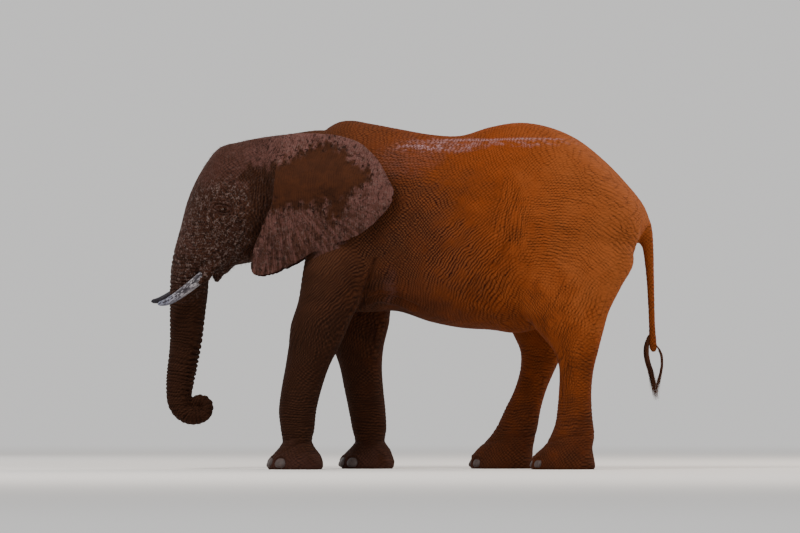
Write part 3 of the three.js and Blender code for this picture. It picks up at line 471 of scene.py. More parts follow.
FOLDS = [
    folds((-0.600, 1.420), (0.300, 0.330), lean=42, spacing=0.028, depth=0.0050, long=7),  # upper foreleg
    folds((-0.330, 1.250), (0.200, 0.200), lean=58, spacing=0.028, depth=0.0050, long=6),  # elbow
    folds((-0.100, 1.850), (0.300, 0.350), lean=35, spacing=0.030, depth=0.0040, long=5),  # behind the ear
    folds((-0.050, 1.800), (0.300, 0.350), lean=-48, spacing=0.032, depth=0.0040, long=5),
    folds((-0.100, 2.300), (0.400, 0.200), lean=-15, spacing=0.032, depth=0.0035, long=5),  # shoulder top
    folds((0.420, 1.640), (0.350, 0.360), lean=48, spacing=0.030, depth=0.0030, long=5),  # ribs
    folds((0.800, 1.900), (0.150, 0.330), lean=72, spacing=0.032, depth=0.0050, long=6),  # flank
    folds((0.620, 1.380), (0.230, 0.240), lean=58, spacing=0.030, depth=0.0045, long=6),  # flank fold
    folds((1.330, 1.850), (0.420, 0.480), about=(1.020, 1.050), spacing=0.027, depth=0.0036, long=9),  # rump
    folds((1.100, 1.700), (0.200, 0.280), lean=-12, spacing=0.028, depth=0.0035, long=4),
    folds((1.250, 1.250), (0.300, 0.280), lean=66, spacing=0.028, depth=0.0040, long=5),  # lower thigh
    folds((1.000, 1.200), (0.200, 0.220), lean=-55, spacing=0.028, depth=0.0035, long=5),
    folds((-1.110, 2.060), (0.095, 0.300), lean=84, spacing=0.026, depth=0.0080, long=9),  # before the ear
    folds((-1.150, 1.700), (0.120, 0.170), lean=65, spacing=0.028, depth=0.0070, long=6),  # throat
    folds((-1.360, 2.000), (0.110, 0.110), about=(-1.410, 1.995), spacing=0.022, depth=0.0040, long=5),  # eye
    folds((-1.620, 1.780), (0.110, 0.200), lean=-8, spacing=0.030, depth=0.0045, long=5),  # trunk's root
    folds((-0.700, 1.000), (0.260, 0.200), lean=70, spacing=0.030, depth=0.0045, long=5, side=LEFT),
    folds((-0.330, 1.000), (0.220, 0.200), lean=75, spacing=0.030, depth=0.0045, long=5, side=RIGHT),
    folds((-0.800, 0.400), (0.300, 0.230), lean=0, spacing=0.026, depth=0.0050, long=6, side=LEFT),  # wrist
    folds((-0.300, 0.400), (0.300, 0.230), lean=0, spacing=0.026, depth=0.0050, long=6, side=RIGHT),
    folds((1.280, 0.400), (0.300, 0.200), lean=4, spacing=0.026, depth=0.0050, long=6, side=LEFT),  # ankle
    folds((0.850, 0.400), (0.300, 0.200), lean=4, spacing=0.026, depth=0.0050, long=6, side=RIGHT),
    folds((1.200, 0.700), (0.090, 0.280), lean=88, spacing=0.026, depth=0.0080, long=6, side=LEFT),  # shin
    folds((1.340, 0.800), (0.120, 0.200), lean=-20, spacing=0.028, depth=0.0045, long=5, side=LEFT),  # hock
    folds((0.950, 0.800), (0.200, 0.200), lean=-15, spacing=0.028, depth=0.0045, long=5, side=RIGHT),
    folds((1.700, 1.780), (0.120, 0.180), lean=-60, spacing=0.028, depth=0.0045, long=6),  # beside the tail
]
LEANS = (0, 45, 90, 135)  # degrees: the ways that the finest wrinkles may run
NET = {"leans": (40, -42), "spacing": 0.030, "long": 5.0, "depth": 0.0026}  # creases over the whole hide
EYE_OPENING = {"long": 0.030, "above": 0.0150, "below": 0.0115, "lean": -12}  # between the lids
# Where the skin's faces are split finer: places (x, y, z) with their reach, and at each eye its reach.
TRUNK_FINE = [(-1.600, 0.000, 0.470, 0.200)]
TRUNK_FINE += [(-1.700, 0.000, height, 0.230) for height in (0.70, 0.95, 1.20, 1.45)]
LIP_FINE = (-1.565, 0.205, 1.488, 0.095)
EYE_FINE = 0.125

# Markings seen from the side, each the outline (x, z) of a patch of hide.
EAR_CENTRE = [
    (-1.060, 2.330), (-0.920, 2.340), (-0.780, 2.425), (-0.590, 2.480), (-0.500, 2.445), (-0.360, 2.340),
    (-0.290, 2.220), (-0.350, 2.130), (-0.470, 2.120), (-0.500, 1.930), (-0.560, 1.880), (-0.620, 2.060),
    (-0.760, 2.020), (-0.920, 2.030), (-1.060, 2.020),
]
DAMP_STRIP = [
    (-1.285, 2.240), (-1.200, 2.320), (-0.960, 2.330), (-0.960, 2.020), (-1.010, 1.800), (-1.110, 1.620),
    (-1.230, 1.600), (-1.215, 1.900), (-1.190, 2.170),
]

TRUNK_RING = {"front": 0.029, "rear": 0.042, "front_depth": 0.0095, "rear_depth": 0.017}


# ---------------------------------------------------------------- shaping


def eased(rows, spacing):
    """Sections about spacing apart, eased through the given ones."""
    rows = np.array(rows, float)
    middles = np.stack([(rows[:, 0] + rows[:, 2]) / 2, (rows[:, 1] + rows[:, 3]) / 2, rows[:, 4]], 1)
    spans = np.linalg.norm(np.diff(middles, axis=0), axis=1)
    knots = np.concatenate([[0], np.cumsum(spans)])
    order = np.arange(len(rows))
    before = np.maximum(order - 1, 0)
    after = np.minimum(order + 1, len(rows) - 1)
    slopes = (rows[after] - rows[before]) / (knots[after] - knots[before])[:, None]
    runs = []
    for i, span in enumerate(spans):
        steps = max(1, round(span / spacing))
        t = (np.arange(steps) / steps)[:, None]
        run = (2 * t**3 - 3 * t**2 + 1) * rows[i] + (t**3 - 2 * t**2 + t) * span * slopes[i]
        run += (3 * t**2 - 2 * t**3) * rows[i + 1] + (t**3 - t**2) * span * slopes[i + 1]
        runs.append(run)
    return np.concatenate([*runs, rows[-1:]])


def middles_of(rows):
    """The middle of each section."""
    return np.stack([(rows[:, 0] + rows[:, 2]) / 2, rows[:, 4], (rows[:, 1] + rows[:, 3]) / 2], 1)


def rings_of(rows, around):
    """Points round each section, the first at its outer end."""
    angle = np.arange(around) * 2 * np.pi / around
    c, s = np.cos(angle), np.sin(angle)
    outer, inner = rows[:, 0:2], rows[:, 2:4]
    length = np.linalg.norm(outer - inner, axis=1)[:, None]
    up = (outer - inner) / length
    wide = rows[:, 6:7]
    power = 2 / np.where(c > 0, rows[:, 7:8], rows[:, 8:9])
    along = np.sign(c) * np.abs(c) ** power * length * np.where(c > 0, 1 - wide, wide)
    across = np.sign(s) * np.abs(s) ** power * rows[:, 5:6]
    reach = length * wide + along
    return np.stack([inner[:, 0:1] + up[:, 0:1] * reach, rows[:, 4:5] + across,
                     inner[:, 1:2] + up[:, 1:2] * reach], 2)


def relief_at(points, bumps):
    """The push of all bumps at each point, the same on both sides of the body."""
    place = np.stack([points[..., 0], np.abs(points[..., 1]), points[..., 2]], -1)
    push = np.zeros(points.shape[:-1])
    for b in bumps:
        away = ((place - np.array(b["at"])) / np.array(b["radius"])) ** 2
        push += b["height"] * np.exp(-away.sum(-1))
    return push


def skinned(rings):
    """Points and faces of one closed surface over rings of equal length, with a fan over each end."""
    count, around = rings.shape[:2]
    points = np.concatenate([rings.reshape(-1, 3), rings[0].mean(0)[None], rings[-1].mean(0)[None]])
    corner = np.arange(around)
    following = (corner + 1) % around
    faces = []
    for i in range(count - 1):
        a, b = i * around + corner, i * around + following
        faces.append(np.stack([a, b, b + around, a + around], 1))
    quads = np.concatenate(faces).tolist()
    last = (count - 1) * around
    first_fan = np.stack([following, corner, np.full(around, len(points) - 2)], 1).tolist()
    last_fan = np.stack([last + corner, last + following, np.full(around, len(points) - 1)], 1).tolist()
    return points, quads + first_fan + last_fan


def loft(rows, spacing, around, bumps=()):
    """A closed surface through sections, pushed out from each section's middle by the bumps."""
    rings = rings_of(eased(rows, spacing), around)
    out = rings - rings.mean(1, keepdims=True)
    out /= np.linalg.norm(out, axis=2, keepdims=True)
    return skinned(rings + out * relief_at(rings, bumps)[..., None])


def on_side(rows, side):
    """The sections, their middles moved to that side of the body."""
    return [(*row[:4], row[4] * side, *row[5:]) for row in rows]


def ease(low, high, value):
    """From 0 at low to 1 at high, level at both ends."""
    t = np.clip((value - low) / (high - low), 0, 1)
    return t * t * (3 - 2 * t)


def curve_points(knots, count):
    """Points along a smooth curve through the knots, spaced alike between each two."""
    knots = np.array(knots, float)
    ends = np.concatenate([2 * knots[:1] - knots[1:2], knots, 2 * knots[-1:] - knots[-2:-1]])
    u = np.linspace(0, len(knots) - 1, count)
    i = np.minimum(u.astype(int), len(knots) - 2)
    t = (u - i)[:, None]
    a, b, c, d = ends[i], ends[i + 1], ends[i + 2], ends[i + 3]
    return 0.5 * (2 * b + (c - a) * t + (2 * a - 5 * b + 4 * c - d) * t**2 + (3 * b - a - 3 * c + d) * t**3)


def noise(points, seed):
    """Smooth noise, about -1 to 1, at each point; its swells are about one unit wide."""
    base = np.floor(points).astype(np.int64)
    part = points - base
    fade = part**3 * (part * (part * 6 - 15) + 10)
    total = np.zeros(len(points))
    for corner in itertools.product((0, 1), repeat=3):
        cell = base + corner
        code = cell[:, 0] * 73856093 ^ cell[:, 1] * 19349663 ^ cell[:, 2] * 83492791 ^ seed * 2654435761
        code = (code ^ (code >> 13)) * 1274126177 & 0xFFFFFFFF
        slope = np.stack([(code >> shift & 255) / 127.5 - 1 for shift in (0, 8, 16)], 1)
        weight = np.where(np.array(corner) == 1, fade, 1 - fade).prod(1)
        total += weight * (slope * (part - corner)).sum(1)
    return total * 1.5


def rough(points, seed, octaves):
    """Noise with finer noise laid over it."""
    return sum(noise(points * 2**k, seed + k) / 2**k for k in range(octaves))


def turned_by(lean, x, z):
    """Places (x, z) measured along a line that rises towards the tail by the lean, and across it."""
    lean = math.radians(lean)
    return x * math.cos(lean) + z * math.sin(lean), z * math.cos(lean) - x * math.sin(lean)


def tree_of(points, step=1):
    """A tree that finds the number of the nearest point, among every step-th one."""
    tree = KDTree(len(points))
    for i, point in enumerate(points[::step].tolist()):
        tree.insert(point, i * step)
    tree.balance()
    return tree


def distance_to_line(x, z, line):
    """How far each place (x, z) in the side view is from a line of points."""
    nearest = np.full(len(x), np.inf)
    for (ax, az), (bx, bz) in zip(line[:-1], line[1:]):
        run_x, run_z = bx - ax, bz - az
        t = np.clip(((x - ax) * run_x + (z - az) * run_z) / (run_x**2 + run_z**2 + 1e-12), 0, 1)
        nearest = np.minimum(nearest, np.hypot(x - ax - t * run_x, z - az - t * run_z))
    return nearest


def inside_outline(x, z, outline):
    """Which places (x, z) lie inside a closed outline in the side view."""
    inside = np.zeros(len(x), bool)
    for (ax, az), (bx, bz) in zip(outline, np.roll(outline, -1, axis=0)):
        crosses = (az > z) != (bz > z)
        inside ^= crosses & (x < (bx - ax) * (z - az) / (bz - az + 1e-12) + ax)
    return inside


# ---------------------------------------------------------------- ears


def ear_out(x, z):
    """How far the middle of the ear stands off the middle plane at a place in the side view."""
    back = np.clip((x - EAR_FRONT) / EAR_LENGTH, 0, 1)
    lean = EAR_OUT["lean"] * ease(2.180, 2.620, z)
    tuck = EAR_OUT["tuck"] * ease(1.760, 1.500, z)
    return EAR_OUT["root"] + EAR_OUT["spread"] * back**0.85 - lean - tuck


def ear_rim(count=420):
    """The ear's free edge (x, z), with its nicks."""
    rim = curve_points(EAR_RIM, count)
    for place, deep, wide in EAR_NICKS:
        near = np.exp(-((np.linalg.norm(rim - place, axis=1) / wide) ** 2))
        inward = np.array(EAR_MIDDLE) - rim
        rim += near[:, None] * deep * inward / np.linalg.norm(inward, axis=1)[:, None]
    return rim


def ear(side):
    """Points and faces of one ear: a thin plate that swells towards its root inside the head."""
    rim = ear_rim()
    root = curve_points(EAR_ROOT, len(rim))
    share = np.linspace(0, 1, EAR_BANDS)[:, None]
    heading = (rim - root) / np.linalg.norm(rim - root, axis=1)[:, None]
    rings = []
    for start, end, ahead in zip(root, rim, heading):
        flat = start + (end - start) * share
        out = ear_out(flat[:, 0], flat[:, 1])
        middle = np.stack([flat[:, 0], out, flat[:, 1]], 1)
        slope = np.gradient(out, np.linalg.norm(flat - start, axis=1) + 1e-9)
        tilt = np.hypot(slope, 1)
        normal = np.stack([-slope * ahead[0] / tilt, 1 / tilt, -slope * ahead[1] / tilt], 1)
        thick = EAR_THICKNESS["root"] + (EAR_THICKNESS["rim"] - EAR_THICKNESS["root"]) * share
        half = thick / 2 * np.sqrt(np.clip(1 - share**24, 0.2, 1))
        deep = np.array([[start[0], out[0] - EAR_OUT["depth"], start[1]]])
        sideways = np.array([[ahead[0], 0, ahead[1]]]) * thick[0] / 2
        ramp = EAR_RAMP["length"] * ease(EAR_RAMP["low"], EAR_RAMP["high"], start[1])
        before = np.array([[start[0] - 0.01 - ramp, out[0] - EAR_RAMP["sunk"], start[1]]])
        upper = np.concatenate([deep - sideways, before, middle + normal * half])
        lower = np.concatenate([deep + sideways, middle - normal * half])
        rings.append(np.concatenate([upper, lower[::-1]]))
    rings = np.array(rings)
    rings[..., 1] *= side
    return skinned(rings)


# ---------------------------------------------------------------- the skin


def round_run(line, side, grow=0.0):
    """Sections of a round run along a line on one side of the head: a tusk, or the sheath it stands in."""
    rows = []
    for i, place in enumerate(line):
        before, after = line[max(i - 1, 0)], line[min(i + 1, len(line) - 1)]
        run = np.array([after["x"] - before["x"], after["z"] - before["z"]])
        run /= np.linalg.norm(run)
        x = place["x"] - LONGER[side] * place["along"]
        z = place["z"] + RAISED[side] * place["along"]
        radius = place["radius"] + grow
        upper = (x + run[1] * radius, z - run[0] * radius)
        lower = (x - run[1] * radius, z + run[0] * radius)
        rows.append(section(upper, lower, radius, y=place["y"] * side))
    return rows


def linked(name, data):
    """A new object that shows the data, linked to the scene."""
    piece = bpy.data.objects.new(name, data)
    bpy.context.scene.collection.objects.link(piece)
    return piece


def joined(name, shapes):
    """One object from the points and faces of several shapes."""
    faces, start = [], 0
    for shape_points, shape_faces in shapes:
        faces += [[corner + start for corner in face] for face in shape_faces]
        start += len(shape_points)
    mesh = bpy.data.meshes.new(name)
    mesh.from_pydata(np.concatenate([points for points, _ in shapes]).tolist(), [], faces)
    mesh.update()
    return linked(name, mesh)


def eye_centre(side_name):
    """The middle of one eye's solid."""
    low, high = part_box(f"eye_{side_name}")
    return (low + high) / 2


def fuller(row, outer, inner):
    """A section that reaches further at its outer and its inner point."""
    points = np.array(row[:4]).reshape(2, 2)
    out = (points[0] - points[1]) / np.linalg.norm(points[0] - points[1])
    outer_point, inner_point = points[0] + out * outer, points[1] - out * inner
    return (*outer_point, *inner_point, row[4], row[5] + outer, *row[6:])


def flesh_shapes():
    """Points and faces of every closed surface that the body is made of, overlapping one another."""
    tip = HEAD[-1]
    pressed = section((tip[0] - TIP_PRESSED, tip[1]), (tip[2] - TIP_PRESSED, tip[3]), tip[5])
    curl = [fuller(row, 0.0, CURL_FILLED) for row in [*HEAD[CURL_START:], pressed]]
    shapes = [
        loft(TORSO, 0.040, 96, TORSO_BUMPS),
        loft([*HEAD[:CURL_START], *curl], 0.022, 96, HEAD_BUMPS),
        loft(JAW, 0.020, 48),
        loft([fuller(row, TAIL_FULLER, TAIL_FULLER) for row in TAIL], 0.030, 24),
        loft(round_run(TAIL_FLAP, LEFT), 0.015, 32),
    ]
    shapes += [loft(on_side(leg["sections"], leg["side"]), 0.030, 56) for leg in LEGS]
    for line in (SHEATH_LINE, TUSK_FOLD):
        shapes += [loft(round_run(line, side), 0.015, 40) for _, side in SIDES]
    shapes += [ear(side) for _, side in SIDES]
    return shapes


def united(shapes, cell):
    """One closed mesh round all the shapes, in cells of one size."""
    piece = joined("skin_parts", shapes)
    bm = bmesh.new()
    bm.from_mesh(piece.data)
    bmesh.ops.recalc_face_normals(bm, faces=bm.faces)
    bm.to_mesh(piece.data)
    bm.free()
    remesh = piece.modifiers.new("One skin", "REMESH")
    remesh.mode = "VOXEL"
    remesh.voxel_size = cell
    graph = bpy.context.evaluated_depsgraph_get()
    mesh = bpy.data.meshes.new_from_object(piece.evaluated_get(graph))
    bpy.data.objects.remove(piece)
    mesh.name = "skin"
    return linked("skin", mesh)


def read(items, name, width, kind=np.float32):
    """One property of every item, in rows of that width."""
    values = np.empty(len(items) * width, kind)
    items.foreach_get(name, values)
    return values.reshape(-1, width)


def points_of(mesh):
    return read(mesh.vertices, "co", 3).astype(float)


def put_points(mesh, points):
    mesh.vertices.foreach_set("co", points.astype(np.float32).ravel())
    mesh.update()


def normals_of(mesh):
    return read(mesh.vertex_normals, "vector", 3).astype(float)


def keep_values(mesh, name, values):
    """Stores one number per point of the mesh, for its material."""
    layer = mesh.attributes.new(name, "FLOAT", "POINT")
    layer.data.foreach_set("value", values.astype(np.float32))


class Net:
    """Which points of a mesh are neighbours, so that it can be eased."""

    def __init__(self, mesh):
        first, second = read(mesh.edges, "vertices", 2, np.int32).T
        self.size = len(mesh.vertices)
        self.start = np.concatenate([first, second])
        self.end = np.concatenate([second, first])

    def eased(self, values, weight, passes):
        """The values drawn towards their neighbours' mean, by weight, over and over."""
        weight = np.where(weight > 0.01, weight, 0)
        moving = weight[self.start] > 0
        start, end = self.start[moving], self.end[moving]
        count = np.maximum(np.bincount(start, minlength=self.size), 1)
        columns = np.atleast_2d(values.T).copy()
        for _ in range(passes):
            for i, column in enumerate(columns):
                mean = np.bincount(start, column[end], minlength=self.size) / count
                columns[i] = column + 0.5 * weight * (mean - column)
        return columns.T if values.ndim > 1 else columns[0]


def unwrapped(piece):
    """Lays the smooth skin out flat, for the finish to be baked on."""
    bpy.context.view_layer.objects.active = piece
    piece.select_set(True)
    piece.data.uv_layers.new(name="OFBake")
    bpy.ops.object.mode_set(mode="EDIT")
    bpy.ops.mesh.select_all(action="SELECT")
    bpy.ops.uv.smart_project(angle_limit=math.radians(72), island_margin=0.003)
    bpy.ops.object.mode_set(mode="OBJECT")
    piece.select_set(False)


def refined(mesh, places):
    """Splits the faces near each place (x, y, z, reach), so that they can hold finer form."""
    points = points_of(mesh)
    near = np.zeros(len(points), bool)
    for x, y, z, reach in places:
        near |= np.linalg.norm(points - (x, y, z), axis=1) < reach
    chosen = np.nonzero(near[read(mesh.edges, "vertices", 2, np.int32)].all(1))[0]
    bm = bmesh.new()
    bm.from_mesh(mesh)
    bm.edges.ensure_lookup_table()
    edges = [bm.edges[i] for i in chosen.tolist()]
    bmesh.ops.subdivide_edges(bm, edges=edges, cuts=1, use_grid_fill=True)
    bm.to_mesh(mesh)
    bm.free()


def waves(place, spacing, long, seed):
    """Folds side by side across a place (along, across, y), broken here and there: 0 in a crease."""
    sway = noise(place / (spacing * 7), seed + 50) * 1.1 + noise(place / (spacing * 2), seed + 60) * 0.20
    creases = np.abs(np.sin(np.pi * (place[:, 1] / spacing + sway)))
    reach = spacing * long
    whole = ease(-0.45, 0.20, noise(place / (reach, spacing * 1.6, reach), seed))
    return 1 - (1 - np.minimum(1, creases / 0.85)) * (0.25 + 0.75 * whole)


def fold_field(points, field, seed):
    """The field's folds, 0 in a crease and 1 on a fold's back, with their strength and their lean."""
    x, y, z = points.T
    away = ((x - field["at"][0]) / field["reach"][0]) ** 2 + ((z - field["at"][1]) / field["reach"][1]) ** 2
    strength = np.exp(-(away**1.5))
    if field["side"]:
        strength = strength * (y * field["side"] > 0)
    near = strength > 0.02
    backs = np.ones(len(points))
    leans = np.zeros(len(points))
    if not near.any():
        return backs, strength, leans
    x, y, z = points[near].T
    if field["about"]:
        dx, dz = x - field["about"][0], z - field["about"][1]
        across = np.hypot(dx, dz)
        along = np.arctan2(dz, dx) * math.hypot(field["reach"][0], field["reach"][1]) * 0.7
        leans[near] = np.degrees(np.arctan2(dz, dx)) + 90
    else:
        leans[near] = field["lean"]
        along, across = turned_by(field["lean"], x, z)
    backs[near] = waves(np.stack([along, across, y], 1), field["spacing"], field["long"], seed)
    return backs, strength, leans


def hide_net(points, seed):
    """The net of fine creases over the whole hide, from 0 in a crease to 1 between them."""
    net = np.ones(len(points))
    x, y, z = points.T
    for k, lean in enumerate(NET["leans"]):
        along, across = turned_by(lean, x, z)
        place = np.stack([along, across + 0.6 * y, y], 1)
        net = np.minimum(net, waves(place, NET["spacing"], NET["long"], seed + 7 * k))
    return net


def trunk_rings(points, seed):
    """How deep the trunk's rings press in at each point, how dark, and the trunk's share of the point."""
    rows = eased(HEAD[TRUNK_START:], 0.012)
    middle = middles_of(rows)
    run = np.concatenate([[0], np.cumsum(np.linalg.norm(np.diff(middle, axis=0), axis=1))])
    tree = tree_of(middle)
    chosen = np.nonzero((points[:, 0] < -1.40) & (points[:, 2] < 1.80))[0]
    nearest = np.array([tree.find(place)[1] for place in points[chosen].tolist()])
    ahead = np.gradient(middle, axis=0)
    ahead /= np.linalg.norm(ahead, axis=1)[:, None]
    offset = points[chosen] - middle[nearest]
    along = run[nearest] + (offset * ahead[nearest]).sum(1)
    outer = rows[nearest, 0:2] - rows[nearest, 2:4]
    outer /= np.linalg.norm(outer, axis=1)[:, None]
    frontness = offset[:, 0] * outer[:, 0] + offset[:, 2] * outer[:, 1]
    frontness /= np.linalg.norm(offset, axis=1) + 1e-9
    rear = ease(0.15, -0.75, frontness)
    slim = ease(0.0, 1.6, along)
    depth = np.zeros(len(points))
    place = np.stack([offset[:, 1], along + 0.012 * frontness, frontness * 0.12], 1)
    front_rings = 1 - waves(place, TRUNK_RING["front"], 9.0, seed)
    rear_rings = 1 - waves(place, TRUNK_RING["rear"], 12.0, seed + 1)
    height = points[chosen, 2]
    low = ease(1.30, 0.85, height) * ease(0.30, 0.50, height)
    pressed = front_rings * TRUNK_RING["front_depth"] * (1 - rear) * (1 - 0.30 * slim)
    pressed += rear_rings * TRUNK_RING["rear_depth"] * rear * (0.22 + 0.78 * low)
    share = ease(-0.10, 0.15, along)
    depth[chosen] = pressed * share
    crease, belongs = np.zeros(len(points)), np.zeros(len(points))
    crease[chosen] = (front_rings * (1 - rear) + rear_rings * rear) * share
    belongs[chosen] = share
    return depth, crease, belongs


def shares_of(leans, strength):
    """How much of a lean goes to each of the finest wrinkles' ways."""
    apart = [np.abs((leans - way + 90) % 180 - 90) for way in LEANS]
    return np.array([strength * np.clip(1 - off / 45, 0, 1) for off in apart])


class Ears:
    """Which points of the skin are ear, and how far each one is from the ear's free edge."""

    def __init__(self, points):
        x, y, z = points.T
        rim = ear_rim(160)
        outline = np.concatenate([rim, np.array(EAR_ROOT[::-1])])
        off = np.abs(np.abs(y) - ear_out(x, z))
        near = (off < 0.05) & (x > -1.25) & (x < 0) & (z > 1.45)
        self.edge = np.full(len(points), 1.0)
        self.edge[near] = distance_to_line(x[near], z[near], rim)
        within = np.zeros(len(points), bool)
        within[near] = inside_outline(x[near], z[near], outline)
        at_rim = ease(0.022, 0.012, off) * (self.edge < 0.022)
        self.share = np.where(within, ease(0.05, 0.03, off), at_rim)
        self.share[x < -1.20] = 0


def veins(points, seed):
    """The ear's raised veins, fanning from its root: 1 on a vein and 0 between them."""
    x, y, z = points.T
    dx, dz = x - VEIN_START[0], z - VEIN_START[1]
    reach = np.hypot(dx, dz)
    place = np.stack([np.arctan2(dz, dx) * 3.2, reach * 1.6, np.sign(y) * 7.0], 1)
    return np.exp(-((noise(place, seed) / 0.055) ** 2)) * ease(0.10, 0.30, reach)


def eye_lids(points, centre, side):
    """How far the lids stand out round one eye, and the pit of its opening as the push there."""
    x, y, z = points.T
    dx, dz = x - centre.x, z - centre.z
    along, across = turned_by(EYE_OPENING["lean"], dx, dz)
    half = np.where(across > 0, EYE_OPENING["above"], EYE_OPENING["below"])
    ring = np.sqrt((along / EYE_OPENING["long"]) ** 2 + (across / half) ** 2)
    near = (y * side > 0.2) & (np.hypot(dx, dz) < 0.16)
    lid = 0.0120 * np.exp(-(((ring - 1.45) / 0.42) ** 2))
    fold = -0.0060 * np.exp(-(((ring - 2.30) / 0.28) ** 2))
    outer_fold = 0.0045 * np.exp(-(((ring - 3.0) / 0.45) ** 2))
    outer_fold -= 0.004 * np.exp(-(((ring - 3.9) / 0.35) ** 2))
    pit = -0.030 * ease(1.06, 0.72, ring)
    return np.where(near, lid + fold + outer_fold + pit, 0.0)


def tusk_lip(points, side):
    """The rolled lip of the sheath round a tusk."""
    before, end = middles_of(np.array(round_run(SHEATH_LINE, side))[-2:])
    ahead = (end - before) / np.linalg.norm(end - before)
    offset = points - end
    along = offset @ ahead
    away = np.linalg.norm(offset - along[:, None] * ahead, axis=1)
    roll = 0.005 * np.exp(-(((along + 0.010) / 0.012) ** 2))
    pinch = -0.003 * np.exp(-(((along + 0.040) / 0.014) ** 2))
    return np.where((away < 0.080) & (np.abs(along) < 0.090), roll + pinch, 0.0)


def trunk_end(points):
    """The two nostrils pressed into the end of the trunk, between its two finger-like lips."""
    end = middles_of(np.array(HEAD[-1:]))[0]
    push = np.zeros(len(points))
    for side in (LEFT, RIGHT):
        hole = end + (0.004, side * 0.014, 0.012)
        push -= 0.020 * np.exp(-((np.linalg.norm(points - hole, axis=1) / 0.010) ** 4))
    return push


def nail_seats():
    """Where each nail sits: its node's name, its middle, the angle it faces and its sizes."""
    seats = []
    for leg in LEGS:
        sizes = leg["nails"]
        outline = rings_of(np.array(on_side(leg["sections"], leg["side"]))[2:3], 360)[0]
        for k in range(sizes["count"]):
            first, last = sizes["arc"]
            angle = round(first + (last - first) * k / (sizes["count"] - 1))
            tangent = outline[angle + 4] - outline[angle - 4]
            facing = math.atan2(tangent[0], -tangent[1])
            middle = outline[angle] + np.array([math.cos(facing), math.sin(facing), 0]) * NAIL_SUNK
            middle[2] = sizes["rise"]
            seats.append((f"nail_{leg['foot']}_{k + 1}", middle, facing, sizes))
    return seats


def nail_beds(points):
    """The groove of the cuticle round every nail, with the skin swollen above it."""
    push = np.zeros(len(points))
    for _, middle, _, sizes in nail_seats():
        away = np.linalg.norm((points - middle) / (sizes["half"], sizes["half"], sizes["height"]), axis=1)
        push -= 0.006 * np.exp(-(((away - 1.05) / 0.12) ** 2))
        push += 0.007 * np.exp(-(((away - 1.40) / 0.20) ** 2))
    return push


# ---------------------------------------------------------------- materials


class Value:
    """A socket in a node tree. Sums, differences and products on it add Math nodes."""

    def __init__(self, graph, socket):
        self.graph = graph
        self.socket = socket

    def math(self, operation, *others):
        inputs = dict(enumerate([self, *others]))
        return self.graph.node("ShaderNodeMath", {"operation": operation}, inputs)

    def __add__(self, other):
        return self.math("ADD", other)

    def __sub__(self, other):
        return self.math("SUBTRACT", other)

    def __rsub__(self, other):
        return self.graph.node("ShaderNodeMath", {"operation": "SUBTRACT"}, {0: other, 1: self})

    def __mul__(self, other):
        return self.math("MULTIPLY", other)

    __radd__ = __add__
    __rmul__ = __mul__

    def above(self, low, high):
        """From 0 at low to 1 at high, level at both ends."""
        settings = {"interpolation_type": "SMOOTHSTEP"}
        inputs = {"Value": self, "From Min": low, "From Max": high}
        return self.graph.node("ShaderNodeMapRange", settings, inputs)


